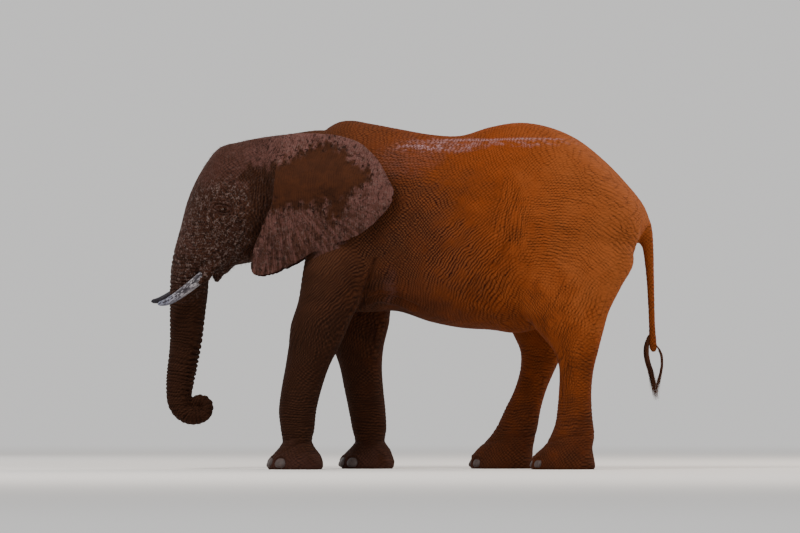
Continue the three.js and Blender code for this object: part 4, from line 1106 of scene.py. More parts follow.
class Graph:
    """A material's node tree, filled by one method."""

    def __init__(self, name):
        self.material = bpy.data.materials.new(name)
        self.material.use_nodes = True
        self.tree = self.material.node_tree
        self.tree.nodes.clear()

    def node(self, kind, settings=None, inputs=None, output=0):
        """Adds a node, makes its settings, then fills its sockets, and gives back one of its outputs."""
        node = self.tree.nodes.new(kind)
        for name, value in (settings or {}).items():
            setattr(node, name, value)
        for name, value in (inputs or {}).items():
            if isinstance(value, Value):
                self.tree.links.new(value.socket, node.inputs[name])
            else:
                node.inputs[name].default_value = value
        return Value(self, node.outputs[output]) if len(node.outputs) else node

    def kept(self, name):
        """A number that the mesh keeps for each of its points."""
        return self.node("ShaderNodeAttribute", {"attribute_name": name}, output="Fac")

    def place(self, stretch=(1.0, 1.0, 1.0), turn=(0.0, 0.0, 0.0)):
        """The place of each point on the object, stretched and turned."""
        place = self.node("ShaderNodeTexCoord", output="Object")
        return self.node("ShaderNodeMapping", {}, {"Vector": place, "Scale": stretch, "Rotation": turn})

    def noise(self, place, scale, detail=3.0, roughness=0.55, distortion=0.0):
        inputs = {"Vector": place, "Scale": scale, "Detail": detail, "Roughness": roughness}
        return self.node("ShaderNodeTexNoise", {}, {**inputs, "Distortion": distortion}, output="Fac")

    def waves(self, lean, apart, sway):
        """Fine folds side by side that rise towards the tail by the lean: 0 in a crease, 1 on a back."""
        turn = math.radians(lean)
        facing = (-math.sin(turn), 0.9 * math.sin(turn), math.cos(turn))
        inputs = {0: self.node("ShaderNodeTexCoord", output="Object"), 1: facing}
        across = self.node("ShaderNodeVectorMath", {"operation": "DOT_PRODUCT"}, inputs, "Value")
        return (across * (math.pi / apart) + sway).math("SINE").math("ABSOLUTE")

    def cracks(self, place, scale):
        """How far each point is from the edges of irregular cells."""
        settings = {"feature": "DISTANCE_TO_EDGE"}
        inputs = {"Vector": place, "Scale": scale}
        return self.node("ShaderNodeTexVoronoi", settings, inputs, output="Distance")

    def mixed(self, factor, first, second):
        """Two colours mixed by a factor."""
        first, second = (tone if isinstance(tone, Value) else colour(tone) for tone in (first, second))
        return self.node("ShaderNodeMix", {"data_type": "RGBA"}, {0: factor, 6: first, 7: second}, output=2)

    def coated(self, body, *coats):
        """The body's colour with coats (how much, colour) laid on it, one over the other."""
        for share, tone in coats:
            body = self.mixed(share, body, tone)
        return body

    def finish(self, inputs, height=None, depth=0.002, strength=1.0):
        """The surface itself, with a bump of that depth in metres where a height is given."""
        if height is not None:
            bump_inputs = {"Height": height, "Distance": depth, "Strength": strength}
            inputs = {**inputs, "Normal": self.node("ShaderNodeBump", {}, bump_inputs)}
        surface = self.node("ShaderNodeBsdfPrincipled", {}, inputs)
        self.node("ShaderNodeOutputMaterial", {}, {"Surface": surface})
        return self.material


def colour(value):
    return (*value, 1.0)


def hide_material(colours):
    """Dark wrinkled hide with dust on it, damp patches, pits and flecks, painted shade in its creases and
    pits, a painted orange glow towards the rump and painted highlights.
    """
    g = Graph("hide")
    place = g.place()
    patches = g.noise(place, 2.3, 4.0, 0.6)
    mottle = g.noise(place, 14.0, 5.0, 0.65)
    grain = g.noise(place, 90.0, 4.0, 0.7)
    pitted = g.noise(g.place((1.0, 1.0, 0.7), (0.0, 0.5, 0.0)), 42.0, 4.0, 0.75, 0.5).above(0.52, 0.61)
    walls = 1.0 - g.cracks(g.place((1.0, 1.0, 0.75), (0.0, -0.4, 0.0)), 55.0).above(0.02, 0.26)
    flakes = walls * g.noise(place, 34.0, 5.0, 0.80).above(0.47, 0.62)
    smooth = g.kept("smooth")
    sway = g.noise(place, 2.6, 3.0, 0.6) * 16.0 + g.noise(place, 15.0, 2.0) * 5.0
    whole = g.noise(place, 10.0, 3.0, 0.6).above(0.34, 0.56)
    # The backs of the finest wrinkles get a painted highlight, and their hollows painted shade.
    wrinkles, ridge_highlights = 0.0, 0.0
    for way in LEANS:
        share, wave = g.kept(f"lean_{way}"), g.waves(way, 0.0205, sway + way)
        wrinkles = wrinkles + share * (1.0 - wave.above(0.0, 0.60))
        ridge_highlights = ridge_highlights + share * wave.above(0.80, 1.0)
    bold = 1.0 + 1.1 * g.kept("bold")
    wrinkles = wrinkles * (0.40 + 0.60 * whole) * (1.0 - 0.5 * smooth) * bold
    ridge_highlights = ridge_highlights * (0.25 + 0.75 * whole) * (1.0 - smooth) * (0.4 + 0.8 * grain) * bold

    dusty = 0.45 + 0.30 * mottle.above(0.40, 0.60) + 0.25 * grain.above(0.38, 0.62)
    sheen = 0.10 + 0.90 * (ridge_highlights * 1.6 + flakes).above(0.20, 0.60)
    # The painted highlight turns orange where the red mark lies.
    ridge_highlight_colour = g.mixed(g.kept("red"), colours.hide_ridge_highlight, colours.hide_painted_glow)
    body = g.coated(
        g.mixed(patches.above(0.35, 0.68), colours.hide_dark, colours.hide_light),
        # darker hide, and painted shade low on the legs and belly
        (g.kept("dark") * (0.75 + 0.4 * patches), colours.hide_low),
        # red tint, and with it painted light from the orange glow
        (g.kept("red") * (0.75 + 0.5 * mottle), colours.hide_red_and_glow),
        # painted light: the orange glow over the rump
        (g.kept("painted_glow") * (0.75 + 0.5 * mottle), colours.hide_painted_glow),
        # dust, its mauve tint a painted sheen of sky light on the head
        (g.kept("dust") * dusty, colours.dust),
        (g.kept("speck") * flakes, colours.fleck),
        # The pit, crease and wrinkle coats darken hollows: painted shade.
        (g.kept("pit") * pitted * 0.85, colours.crease),
        (g.kept("wet") * (0.50 + 0.5 * mottle.above(0.38, 0.60)), colours.hide_wet),
        (g.kept("crease") * 0.70, colours.crease),
        # painted highlight: a pale sheen beside the spine
        (g.kept("pale") * sheen, colours.hide_sheen),
        # painted highlight on the backs of the finest wrinkles
        (ridge_highlights * 0.55 * (1.0 - g.kept("dust")), ridge_highlight_colour),
        # less of the wrinkles' painted shade where the orange glow lies
        (wrinkles * (0.90 - 0.30 * g.kept("painted_glow")), colours.crease),
    )

    coarse = g.cracks(place, 34.0).above(0.0, 0.10)
    fine = g.cracks(g.place((1.0, 1.0, 1.6), (0.3, 0.2, 0.6)), 80.0).above(0.0, 0.14)
    height = (coarse * 0.25 + fine * 0.20) * (1.0 - 0.75 * smooth) + grain * 0.18 + mottle * 0.15
    height = height - wrinkles * 0.70 - g.kept("pit") * pitted * 0.35
    roughness = 0.92 - 0.15 * g.kept("wet") - 0.10 * mottle
    inputs = {"Base Color": body, "Roughness": roughness, "Specular IOR Level": 0.06}
    return g.finish(inputs, height, depth=0.0050, strength=0.9)


def ivory_material(colours):
    """Weathered ivory: grey-white, bluish at its tip, with a dark band of pits and painted shade on its inner
    side.
    """
    g = Graph("ivory")
    band = g.kept("band")
    place = g.node("ShaderNodeTexCoord", output="Object")

    def lengthwise(long, short):
        """The ivory's own grain, which runs along the tusk."""
        inputs = {"Vector": place, "Rotation": (0.0, math.radians(-38), 0.0), "Scale": (long, short, short)}
        return g.node("ShaderNodeMapping", {"vector_type": "TEXTURE"}, inputs)

    grain = g.noise(lengthwise(0.075, 0.014), 1.0, 5.0, 0.7, 0.3)
    pits = g.noise(lengthwise(0.026, 0.014), 1.0, 1.5, 0.60, 0.6)
    pits = (pits + 0.12 * band).above(0.53, 0.57) * (0.55 + 0.45 * band)
    body = g.coated(
        g.mixed(grain.above(0.40, 0.62), colours.ivory, colours.ivory_shade),
        (g.kept("along").above(0.60, 0.95) * 0.75, colours.ivory_tip),
        (pits * 0.97, colours.stain_and_shade),
        # painted shade on the side of each tusk that faces the other
        (g.kept("inner") * 0.88, colours.stain_and_shade),
    )
    height = grain * 0.5 - pits * 0.5
    inputs = {"Base Color": body, "Roughness": 0.45 + 0.3 * grain, "Specular IOR Level": 0.15}
    return g.finish(inputs, height, depth=0.0020, strength=0.7)


def nail_material(colours):
    """Dull horn, ribbed from cuticle to edge, and dusty."""
    g = Graph("nail")
    ribs = g.noise(g.place((70.0, 70.0, 6.0)), 1.0, 3.0, 0.6)
    dust = g.noise(g.place(), 30.0, 4.0, 0.65)
    body = g.mixed(ribs.above(0.35, 0.7), colours.nail, colours.nail_shade)
    body = g.mixed(dust.above(0.5, 0.7) * 0.6, body, colours.nail_dust)
    return g.finish({"Base Color": body, "Roughness": 0.55 + 0.25 * dust}, ribs, depth=0.0012, strength=0.6)


def eye_material(colours):
    """A wet amber-brown eye: round pupil, streaked iris with a dark ring, brown white of the eye."""
    g = Graph("eye")
    polar = g.kept("polar")
    inputs = {"W": g.kept("turn"), "Scale": 9.0, "Detail": 3.0}
    streaks = g.node("ShaderNodeTexNoise", {"noise_dimensions": "1D"}, inputs)
    iris = g.mixed(streaks.above(0.35, 0.65), colours.iris, colours.iris_rim)
    iris = g.mixed(polar.above(0.40, 0.56), iris, colours.iris_rim)
    body = g.mixed(polar.above(0.19, 0.22), (0.002, 0.002, 0.002), iris)
    body = g.mixed(polar.above(0.54, 0.60), body, colours.eye_white)
    inputs = {"Base Color": body, "Roughness": 0.12, "Coat Weight": 0.5, "Coat Roughness": 0.06}
    return g.finish(inputs)


def hair_material(colours):
    """Coarse dark hair, as thick as wire."""
    g = Graph("hair")
    shade = g.noise(g.place((40.0, 40.0, 4.0)), 1.0, 3.0)
    body = g.mixed(shade.above(0.35, 0.7), colours.hair, colours.hair_light)
    inputs = {"Base Color": body, "Roughness": 0.55 + 0.2 * shade, "Specular IOR Level": 0.15}
    return g.finish(inputs)


def floor_material(colours, studio):
    """A plain pale floor that fades into the studio's own light far from the object."""
    g = Graph("floor")
    place = g.node("ShaderNodeTexCoord", output="Object")
    away = g.node("ShaderNodeVectorMath", {"operation": "LENGTH"}, {0: place}, "Value")
    far = away.above(5.0, 26.0)
    body = g.mixed(far, colours.floor, BLACK)
    glow = g.mixed(far, BLACK, studio)
    inputs = {"Base Color": body, "Roughness": 0.95, "Specular IOR Level": 0.0}
    return g.finish({**inputs, "Emission Color": glow, "Emission Strength": 1.0})


def dressed(piece, material, smooth=True):
    """Gives a piece its one material, and rounds its shading."""
    piece.data.materials.clear()
    piece.data.materials.append(material)
    piece.data.shade_smooth() if smooth else piece.data.shade_flat()


# ---------------------------------------------------------------- settings


def size_of(name, description, default, low=0.0):
    limits = {"min": low, "precision": 4, "unit": "LENGTH"}
    return FloatProperty(name=name, description=description, default=default, **limits)


def count_of(name, description, default):
    return IntProperty(name=name, description=description, default=default, min=0)


def colour_of(name, description, default):
    limits = {"size": 3, "min": 0.0, "max": 1.0}
    return FloatVectorProperty(name=name, description=description, default=default, subtype="COLOR", **limits)


class ElephantSizes(PropertyGroup):
    cell: size_of("Cell", "Size of the cells that the skin is made of", 0.007, low=0.002)
    fold_depth: FloatProperty(name="Fold depth", description="How deep all folds are, where 1 is as modelled",
                              default=1.0, min=0.0, subtype="FACTOR")
    eye_radius: size_of("Eye radius", "Radius of the eyeball", 0.0215)
    hair_width: size_of("Hair width", "Thickness of a tail hair at its root", 0.0026)
    bristle_width: size_of("Bristle width", "Thickness of a bristle or lash at its root", 0.0014)
    tuft_hairs: count_of("Tuft hairs", "Hairs in the front one of the tail's two locks", 330)
    crown_bristles: count_of("Crown bristles", "Bristles on the crown and the forehead", 420)
    chin_bristles: count_of("Chin bristles", "Bristles on the chin, the lip and the trunk's end", 260)
    lashes: count_of("Lashes", "Lashes on each upper eyelid", 46)
    seed: count_of("Seed", "Which of the many ways the hairs may fall", 7)


class ElephantColours(PropertyGroup):
    hide_dark: colour_of("Dark hide", "The hide at its darkest", (0.032, 0.0110, 0.0050))
    hide_light: colour_of("Light hide", "The hide at its lightest", (0.058, 0.0210, 0.0095))
    # Darker hide on the legs, the trunk and the belly; low down it is painted shade.
    hide_low: colour_of("Low hide", "The legs, the trunk and the belly", (0.021, 0.0072, 0.0034))
    # A red-brown tint of the hide that also carries painted light: most of it follows the orange glow towards
    # the rump.
    hide_red_and_glow: colour_of("Red hide", "Hide with red earth rubbed in", (0.205, 0.041, 0.006))
    # Painted light: an orange glow over the rump and the rear of the body.
    hide_painted_glow: colour_of("Warm hide", "The rump, paler with the same earth", (0.285, 0.080, 0.021))
    # Painted highlight: a pale sheen on the wrinkles' backs beside the spine and over the shoulder.
    hide_sheen: colour_of("Pale hide", "Scuffed skin beside the spine", (0.290, 0.175, 0.190))
    # Painted highlight on the backs of the finest wrinkles.
    hide_ridge_highlight: colour_of("Ridge", "The backs of the finest wrinkles", (0.085, 0.034, 0.017))
    hide_wet: colour_of("Wet hide", "Damp patches", (0.052, 0.0160, 0.0060))
    # Painted shade: darkens the bottoms of folds, of the finest wrinkles and of pits.
    crease: colour_of("Crease", "Dirt at the bottom of folds", (0.006, 0.0026, 0.0016))
    # Dust on the hide; its mauve tint on the head is a painted sheen of sky light.
    dust: colour_of("Dust", "Mauve-grey dust that lies on the hide", (0.126, 0.056, 0.048))
    fleck: colour_of("Fleck", "Pale flakes of dried mud", (0.165, 0.122, 0.110))
    ivory: colour_of("Ivory", "The tusks where they are clean", (0.330, 0.310, 0.325))
    ivory_shade: colour_of("Ivory shade", "The darker grain of the tusks", (0.110, 0.098, 0.115))
    ivory_tip: colour_of("Ivory tip", "The tusks' bluish tips", (0.135, 0.150, 0.215))
    # Earth in the tusks' pits, and painted shade on their inner sides.
    stain_and_shade: colour_of("Tusk stain", "Earth ground into the tusks", (0.014, 0.011, 0.015))
    nail: colour_of("Nail", "The nails' horn", (0.048, 0.030, 0.027))
    nail_shade: colour_of("Nail shade", "The darker ribs of the nails", (0.022, 0.012, 0.010))
    nail_dust: colour_of("Nail dust", "Dust on the nails", (0.055, 0.028, 0.021))
    iris: colour_of("Iris", "The iris", (0.070, 0.028, 0.009))
    iris_rim: colour_of("Iris rim", "The iris's dark ring and streaks", (0.040, 0.015, 0.006))
    eye_white: colour_of("White of the eye", "The brownish white beside the iris", (0.034, 0.021, 0.016))
    hair: colour_of("Hair", "Tail hair, bristles and lashes", (0.032, 0.010, 0.0045))
    hair_light: colour_of("Light hair", "The hairs' lighter shade", (0.095, 0.032, 0.013))
    floor: colour_of("Floor", "The studio's floor", (0.72, 0.70, 0.68))
    studio: colour_of("Studio", "The light that comes from all round", (0.90, 0.89, 0.88))


class ElephantStage(PropertyGroup):
    distance: size_of("Camera distance", "From the middle plane of the animal to the camera", 60.0)
    height: size_of("Camera height", "Height of the camera over the floor", 0.65)
    field: size_of("Field width", "How wide the view is at the animal", 6.16)
    aim_x: FloatProperty(name="Aim along", description="Where the camera aims along the animal",
                         default=-0.050, unit="LENGTH")
    aim_z: size_of("Aim height", "Height at which the camera aims", 1.559)
    light: FloatProperty(name="Light", description="Strength of all lamps together", default=1.0, min=0.0)


# ---------------------------------------------------------------- pieces


def replace(piece, nodes):
    """The piece stands for the CAD nodes, which it hides, and rides on the body."""
    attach(piece, "root")
    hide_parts(*nodes)


def hair_strand(path, width):
    """Rings and faces of one tapered hair along a path."""
    ahead = np.gradient(path, axis=0)
    ahead /= np.linalg.norm(ahead, axis=1)[:, None] + 1e-12
    side = np.cross(ahead, (0.31, 0.83, 0.46))
    side /= np.linalg.norm(side, axis=1)[:, None] + 1e-12
    up = np.cross(ahead, side)
    taper = width / 2 * (1 - 0.88 * np.linspace(0, 1, len(path)) ** 2)
    angle = np.arange(HAIR_SIDES) * 2 * np.pi / HAIR_SIDES
    ring = np.cos(angle)[None, :, None] * side[:, None] + np.sin(angle)[None, :, None] * up[:, None]
    return skinned(path[:, None] + ring * taper[:, None, None])


def hair_piece(name, strands, skin):
    """One mesh of many hairs, each laid on a small patch of the skin's own unwrap at its root."""
    piece = joined(name, strands)
    roots = root_places([points[0] for points, _ in strands], skin)
    layer = piece.data.uv_layers.new(name="OFBake")
    corners = [sum(len(face) for face in faces) for _, faces in strands]
    which = np.repeat(np.arange(len(strands)), corners)
    spot = np.random.default_rng(1).random((len(which), 2)) * ROOT_PATCH
    layer.data.foreach_set("uv", (roots[which] + spot).astype(np.float32).ravel())
    return piece


def root_places(roots, skin):
    """Where on the skin's unwrap each hair's root lies."""
    mesh = skin.data
    tree = tree_of(points_of(mesh), 4)
    corner_point = read(mesh.loops, "vertex_index", 1, np.int32)[:, 0]
    uv = read(mesh.uv_layers["OFBake"].data, "uv", 2)
    first = np.zeros(len(mesh.vertices), np.int64)
    first[corner_point] = np.arange(len(corner_point))
    nearest = np.array([tree.find(tuple(root))[1] for root in roots])
    return uv[first[nearest]]


def make_eye(side_name, side, sizes):
    """One eyeball, with how far round from the pupil each point lies."""
    bm = bmesh.new()
    bmesh.ops.create_uvsphere(bm, u_segments=48, v_segments=40, radius=1.0)
    piece_points = np.array([v.co[:] for v in bm.verts])
    mesh = bpy.data.meshes.new(f"eyeball_{side_name}")
    bm.to_mesh(mesh)
    bm.free()
    polar = np.arccos(np.clip(piece_points[:, 2], -1, 1))
    turn = np.arctan2(piece_points[:, 1], piece_points[:, 0])
    keep_values(mesh, "polar", polar)
    keep_values(mesh, "turn", np.abs(turn))
    cornea = 1 + 0.07 * np.exp(-((polar / 0.42) ** 2))
    points = piece_points * cornea[:, None] * sizes.eye_radius
    out = np.stack([points[:, 0], side * points[:, 2], points[:, 1]], 1)
    turned = out @ turn_about_z(math.radians(14) * side)
    put_points(mesh, turned + np.array(eye_centre(side_name)) - (0, side * 0.001, 0))
    if side == RIGHT:
        mesh.flip_normals()
    return linked(f"eyeball_{side_name}", mesh)


def turn_about_z(angle):
    c, s = math.cos(angle), math.sin(angle)
    return np.array([[c, s, 0], [-s, c, 0], [0, 0, 1]])


def make_tusk(side_name, side):
    """One tusk as a close run of rings, worn flatter towards its tip, with its length, its inner side for the
    painted shade, and its band of pits kept for the material.
    """
    rings = rings_of(eased(round_run(TUSK_LINE, side, -0.0006), 0.012), 40)
    share = np.linspace(0, 1, len(rings))
    middle = rings.mean(1, keepdims=True)
    out = rings - middle
    uneven = noise(rings.reshape(-1, 3) / (0.05, 0.02, 0.02), 31 + side).reshape(rings.shape[:2])
    rounding = np.sqrt(np.clip(1 - np.clip((share - 0.975) / 0.027, 0, 1) ** 2, 0.02, 1))
    rings = middle + out * (1 - 0.02 * np.abs(uneven))[..., None] * rounding[:, None, None]
    piece = joined(f"tusk_ivory_{side_name}", [skinned(rings)])
    out = (out / np.linalg.norm(out, axis=2, keepdims=True)).reshape(-1, 3)
    # inner marks the side that faces the other tusk, for painted shade
    inner = ease(0.15, -0.45, out[:, 1] * side)
    band = np.exp(-(((out[:, 2] - 0.20) / 0.50) ** 2))
    for name, values in (("along", np.repeat(share, 40)), ("inner", inner), ("band", band)):
        keep_values(piece.data, name, np.concatenate([values, [0, 1]]))
    return piece


def make_nail(name, middle, facing, sizes):
    """One nail: a plate with square shoulders, thin at its cuticle and blunt at its lower edge."""
    around, rows = 40, 18
    tilt = np.linspace(-math.pi / 2, math.pi / 2, rows)[:, None]
    angle = (np.arange(around) * 2 * math.pi / around)[None]
    across = np.cos(tilt) * np.cos(angle)
    upward = np.cos(tilt) * np.sin(angle)
    size = sum(np.abs(part) ** NAIL_SQUARE for part in (across, upward, np.sin(tilt))) ** (1 / NAIL_SQUARE)
    across, upward, out = across / size, upward / size, np.sin(tilt) / size
    out = np.broadcast_to(out, across.shape)
    narrow = 1 - 0.22 * np.clip(upward, 0, 1)
    thick = 0.86 + 0.14 * np.clip(-upward, -1, 1)
    out = out * sizes["depth"] * thick * NAIL_SHRINK
    across = across * sizes["half"] * narrow * NAIL_SHRINK
    upward = upward * sizes["height"] * NAIL_SHRINK
    outward = out * math.cos(NAIL_LEAN) - upward * math.sin(NAIL_LEAN)
    height = upward * math.cos(NAIL_LEAN) + out * math.sin(NAIL_LEAN)
    c, s = math.cos(facing), math.sin(facing)
    x = -outward * c - across * s
    y = -outward * s + across * c
    rings = np.stack([x, y, height], 2) + middle
    points, faces = skinned(rings)
    points[:, 2] = np.maximum(points[:, 2], NAIL_FOOT)
    return joined(name.replace("nail_", "horn_"), [(points, faces)])


# ---------------------------------------------------------------- operators


class ELEPHANT_OT_skin(Operator):
    """Builds the one skin over all the flesh, with its folds, lids and lips, and the marks it carries."""

    bl_idname = "elephant.skin"
    bl_label = "Skin"

    def execute(self, context):
        sizes = context.scene.elephant_sizes
        skin = united(flesh_shapes(), sizes.cell * (1.0))
        mesh = skin.data
        self.blend(mesh)
        unwrapped(skin)
        self.refine(mesh)
        marks = self.press(mesh, sizes)
        self.mark(mesh, marks)
        dressed(skin, hide_material(context.scene.elephant_colours))
        replace(skin, FLESH)
        return {"FINISHED"}

    def blend(self, mesh):
        """Eases the skin where shapes run together, and a little everywhere else."""
        net = Net(mesh)
        points = points_of(mesh)
        thin = (points[:, 0] > 1.80) & (points[:, 2] < 1.72)  # the tail
        points = net.eased(points, np.where(thin, 0.15, 0.8), 2)
        points = net.eased(points, ease(0.04, 0.90, relief_at(points, BLENDS)), BLEND_PASSES)
        put_points(mesh, points)

    def refine(self, mesh):
        """Makes room for fine form round the eyes, the tusks' lips and the end of the trunk."""
        fine = []
        for side_name, side in SIDES:
            x, y, z, reach = LIP_FINE
            fine += [(*eye_centre(side_name), EYE_FINE), (x, y * side, z, reach)]
        refined(mesh, TRUNK_FINE + fine)
        refined(mesh, fine)
        points = points_of(mesh)
        weight = np.zeros(len(points))
        for x, y, z, reach in TRUNK_FINE + fine:
            away = np.linalg.norm(points - (x, y, z), axis=1)
            weight = np.maximum(weight, ease(reach * 1.05, reach * 0.8, away))
        put_points(mesh, Net(mesh).eased(points, weight, 8))

    def forms(self, points, normals, plain):
        """How far grooves, lids, lips and nail beds push the skin, and the lids' own share of that."""
        x, y, z = points.T
        push = relief_at(points, SKIN_BUMPS) * plain
        sheath = [(place["x"], place["z"]) for place in SHEATH_LINE]
        off_sheath = ease(0.060, 0.100, distance_to_line(x, z, sheath))
        outer = ease(0.05, 0.16, np.abs(y)) * ease(-0.2, 0.3, np.abs(normals[:, 1])) * plain
        for line in GROOVES:
            away = distance_to_line(x, z, line["points"])
            facing = outer * (y * line["side"] >= 0) * off_sheath
            push += line["height"] * np.exp(-((away / line["width"]) ** 2)) * facing

        lids = np.zeros(len(points))
        for side_name, side in SIDES:
            lids += eye_lids(points, eye_centre(side_name), side)
            push += tusk_lip(points, side)
        push += lids + trunk_end(points) + nail_beds(points)
        return push, lids

    def press(self, mesh, sizes):
        """Presses every fold into the skin, and gives back what the marks need to know."""
        points, normals = points_of(mesh), normals_of(mesh)
        ears = Ears(points)
        plain = 1 - ears.share
        push, lids = self.forms(points, normals, plain)
        lift = ease(0.012, 0.090, points[:, 2])
        depth, crease, on_trunk = trunk_rings(points, 400)
        calm = np.clip(np.abs(lids) / 0.004, 0, 1)
        covered = on_trunk + calm
        ways = 0.3 * shares_of(0, on_trunk)
        for number, field in enumerate(FOLDS):
            backs, strength, leans = fold_field(points, field, 100 + number)
            strength = strength * plain * np.clip(1 - on_trunk - calm, 0, 1)
            depth += (1 - backs) * strength * field["depth"]
            crease = np.maximum(crease, (1 - backs) * np.minimum(1, strength * 1.3))
            covered = covered + strength * 0.8
            ways += shares_of(leans, strength)
        open_hide = np.clip(1 - covered, 0.25, 1) * plain
        net = hide_net(points, 200)
        depth += (1 - net) * NET["depth"] * open_hide * np.clip(1 - on_trunk - calm, 0, 1)
        crease = np.maximum(crease, (1 - net) * 0.6 * open_hide)
        ways = np.maximum(ways, 0.45 * shares_of(45, plain)) + 0.45 * shares_of(135, plain) * open_hide
        ways = np.maximum(ways, 0.5 * shares_of(90, ears.share))
        ways /= np.maximum(1, ways.sum(0))
        raised = veins(points, 300) * ears.share * ease(0.02, 0.10, ears.edge)
        lobe = ears.share * ease(2.05, 1.75, points[:, 2])
        creased_lobe = 1 - np.minimum(1, np.abs(noise(points / (0.035, 0.3, 0.30), 310)) / 0.3)
        rumple = noise(points / (0.16, 0.5, 0.16), 320) * 0.006 * ease(0.0, 0.2, ears.edge)
        depth += lobe * creased_lobe * 0.004
        crease = np.maximum(crease, lobe * creased_lobe * 0.7)
        push += raised * 0.0035 - 0.002
        moved = points + normals * (push - depth * sizes.fold_depth)[:, None] * lift[:, None]
        moved[:, 1] += rumple * ears.share
        put_points(mesh, self.within(moved))
        found = {"points": points, "ears": ears, "crease": crease * lift}
        return {**found, "trunk": on_trunk, "lids": calm, "ways": ways}

    def within(self, points):
        """Keeps the skin inside the solids' box, with level soles."""
        low, high = CAD_BOX
        points[points[:, 2] < SOLE_FLAT, 2] = 0.0
        return np.clip(points, np.array(low) + (CLEARANCE, CLEARANCE, 0), np.array(high) - CLEARANCE)

    def mark(self, mesh, marks):
        """Keeps the dust, damp patches and flecks, and the painted shade, glow and highlights, as numbers on
        the skin's points.
        """
        points, ears = marks["points"], marks["ears"]
        x, y, z = points.T
        on_ear, plain = ears.share, 1 - ears.share
        uneven = rough(points / 0.16, 500, 4)
        ragged = rough(points / (0.05, 0.20, 0.07), 520, 3)

        def patch(at, reach, soft, wild):
            """A patch with a ragged edge round a place (x, z)."""
            away = np.hypot((x - at[0]) / reach[0], (z - at[1]) / reach[1])
            return ease(1 + soft / 2, 1 - soft / 2, away + wild * uneven)

        def filled(outline, soft, wild):
            """A patch within an outline (x, z), its edge ragged."""
            away = distance_to_line(x, z, [*outline, outline[0]])
            signed = np.where(inside_outline(x, z, np.array(outline)), away, -away)
            return ease(-soft, soft, signed + wild * ragged + 0.6 * wild * uneven)

        head = plain * ease(-0.82, -1.00, x + 0.06 * uneven)
        centre = filled(EAR_CENTRE, 0.035, 0.060) * on_ear
        near_centre = filled(EAR_CENTRE, 0.090, 0.050)
        fringe = 4 * near_centre * (1 - near_centre) * on_ear
        blotch = ease(-0.04, 0.12, rough(points / (0.050, 0.20, 0.050), 580, 4))
        stained = patch((-0.585, 2.050), (0.160, 0.120), 0.8, 0.6) * on_ear
        fringe = np.maximum(fringe, stained)
        blotch = np.clip(blotch + 0.6 * stained * ease(-0.20, 0.05, ragged), 0, 1)
        damp = filled(DAMP_STRIP, 0.035, 0.050) * plain
        earwards = ease(-1.36, -0.92, x + 0.05 * uneven)
        upper = ease(2.100, 2.270, z + 0.07 * uneven + 0.04 * ragged) * head
        face_front = ease(-1.600, -1.680, x + 0.03 * uneven) * ease(1.50, 1.75, z) * head
        crown = np.maximum(upper * (0.44 + 0.54 * earwards), 0.30 * face_front)
        streaky = ease(-0.45, 0.35, rough(points / (0.10, 0.20, 0.025), 560, 3))
        broken = ease(-0.20, 0.30, rough(points / (0.045, 0.10, 0.030), 570, 3))
        flank = np.abs(y) > 0.10
        # The pale mark is a painted highlight: a broken pale sheen along the spine and a faint one over the
        # shoulder.
        pale = patch((0.215, 2.490), (0.300, 0.050), 1.1, 0.50) * (0.15 + 0.85 * broken)
        pale = np.maximum(pale, 0.55 * patch((0.750, 2.508), (0.480, 0.028), 0.9, 0.40) * broken)
        pale = np.maximum(pale, 0.10 * patch((0.010, 2.400), (0.230, 0.150), 0.9, 0.40))
        pale = np.maximum(pale, patch((0.700, 2.539), (0.500, 0.009), 1.0, 0.20)) * plain * flank
        armpit = 0.50 * patch((-0.125, 1.425), (0.055, 0.140), 0.9, 0.20) * (0.2 + 0.8 * streaky)
        feet = 0.22 * ease(0.25, 0.03, z + 0.1 * uneven) * ease(0.9, 0.1, x)
        dust = (crown + (armpit + feet) * plain) * (1 - damp)
        low_ear = ease(2.120, 1.920, z + 0.05 * ragged)
        dx, dz = x - RAY_START[0], z - RAY_START[1]
        fan = np.stack([np.arctan2(dz, dx) * 30, np.hypot(dz, dx) * 4, np.sign(y) * 7], 1)
        rays = ease(-0.30, 0.34, rough(fan, 540, 3))
        dust = np.maximum(dust, on_ear * (1 - centre) * (1 - low_ear * (0.72 - 0.55 * rays)))
        dust = dust * (1 - 0.9 * fringe * blotch)
        wet = 0.90 * centre * (0.70 + 0.30 * ease(0.3, -0.3, uneven)) * (1 - 0.8 * fringe * blotch)

        face = head * ease(2.280, 2.120, z + 0.06 * uneven) * (1 - 0.85 * damp) * ease(1.20, 1.55, z)
        dust = np.maximum(dust, 0.14 * face)
        speck = face * (1 - 0.7 * marks["lids"]) + on_ear * (1 - centre) * 0.30 + 0.15 * upper
        pit = face + (upper * earwards + on_ear * (1 - centre)) * 0.75
        pit = pit + 0.6 * fringe + 0.25 * centre + 0.25 * upper
        # Painted light: glow is an orange glow that grows towards the rump and upwards; the glow mark made
        # from it alone is all painted light.
        glow = ease(-0.85, 1.75, x + 0.20 * uneven) ** 1.3 * ease(-0.35, 1.70, z + 0.20 * uneven)
        along_back = 0.26 * ease(1.85, 2.50, z + 0.10 * uneven) * ease(-0.90, -0.25, x)
        # The red mark is partly a red tint along the front of the back and partly painted light, the orange
        # glow towards the rump.
        red = plain * (1.25 * glow + 1.1 * along_back + 0.05 * ease(-0.3, 1.0, x))
        painted_glow = plain * ease(0.50, 1.15, glow)
        on_tail = (x > 1.80) * ease(1.95, 1.75, z)
        red, painted_glow = red * (1 - 0.30 * on_tail), painted_glow * (1 - 0.55 * on_tail)
        # low darkens the hide towards the bottom, on the legs and belly: painted shade.
        low = ease(1.65, 0.65, z + 0.15 * uneven + 0.20 * (x - 0.5)) * plain
        dark = np.max([low, 0.85 * face, 0.9 * damp, marks["trunk"], 0.7 * upper, 0.7 * on_ear], 0)

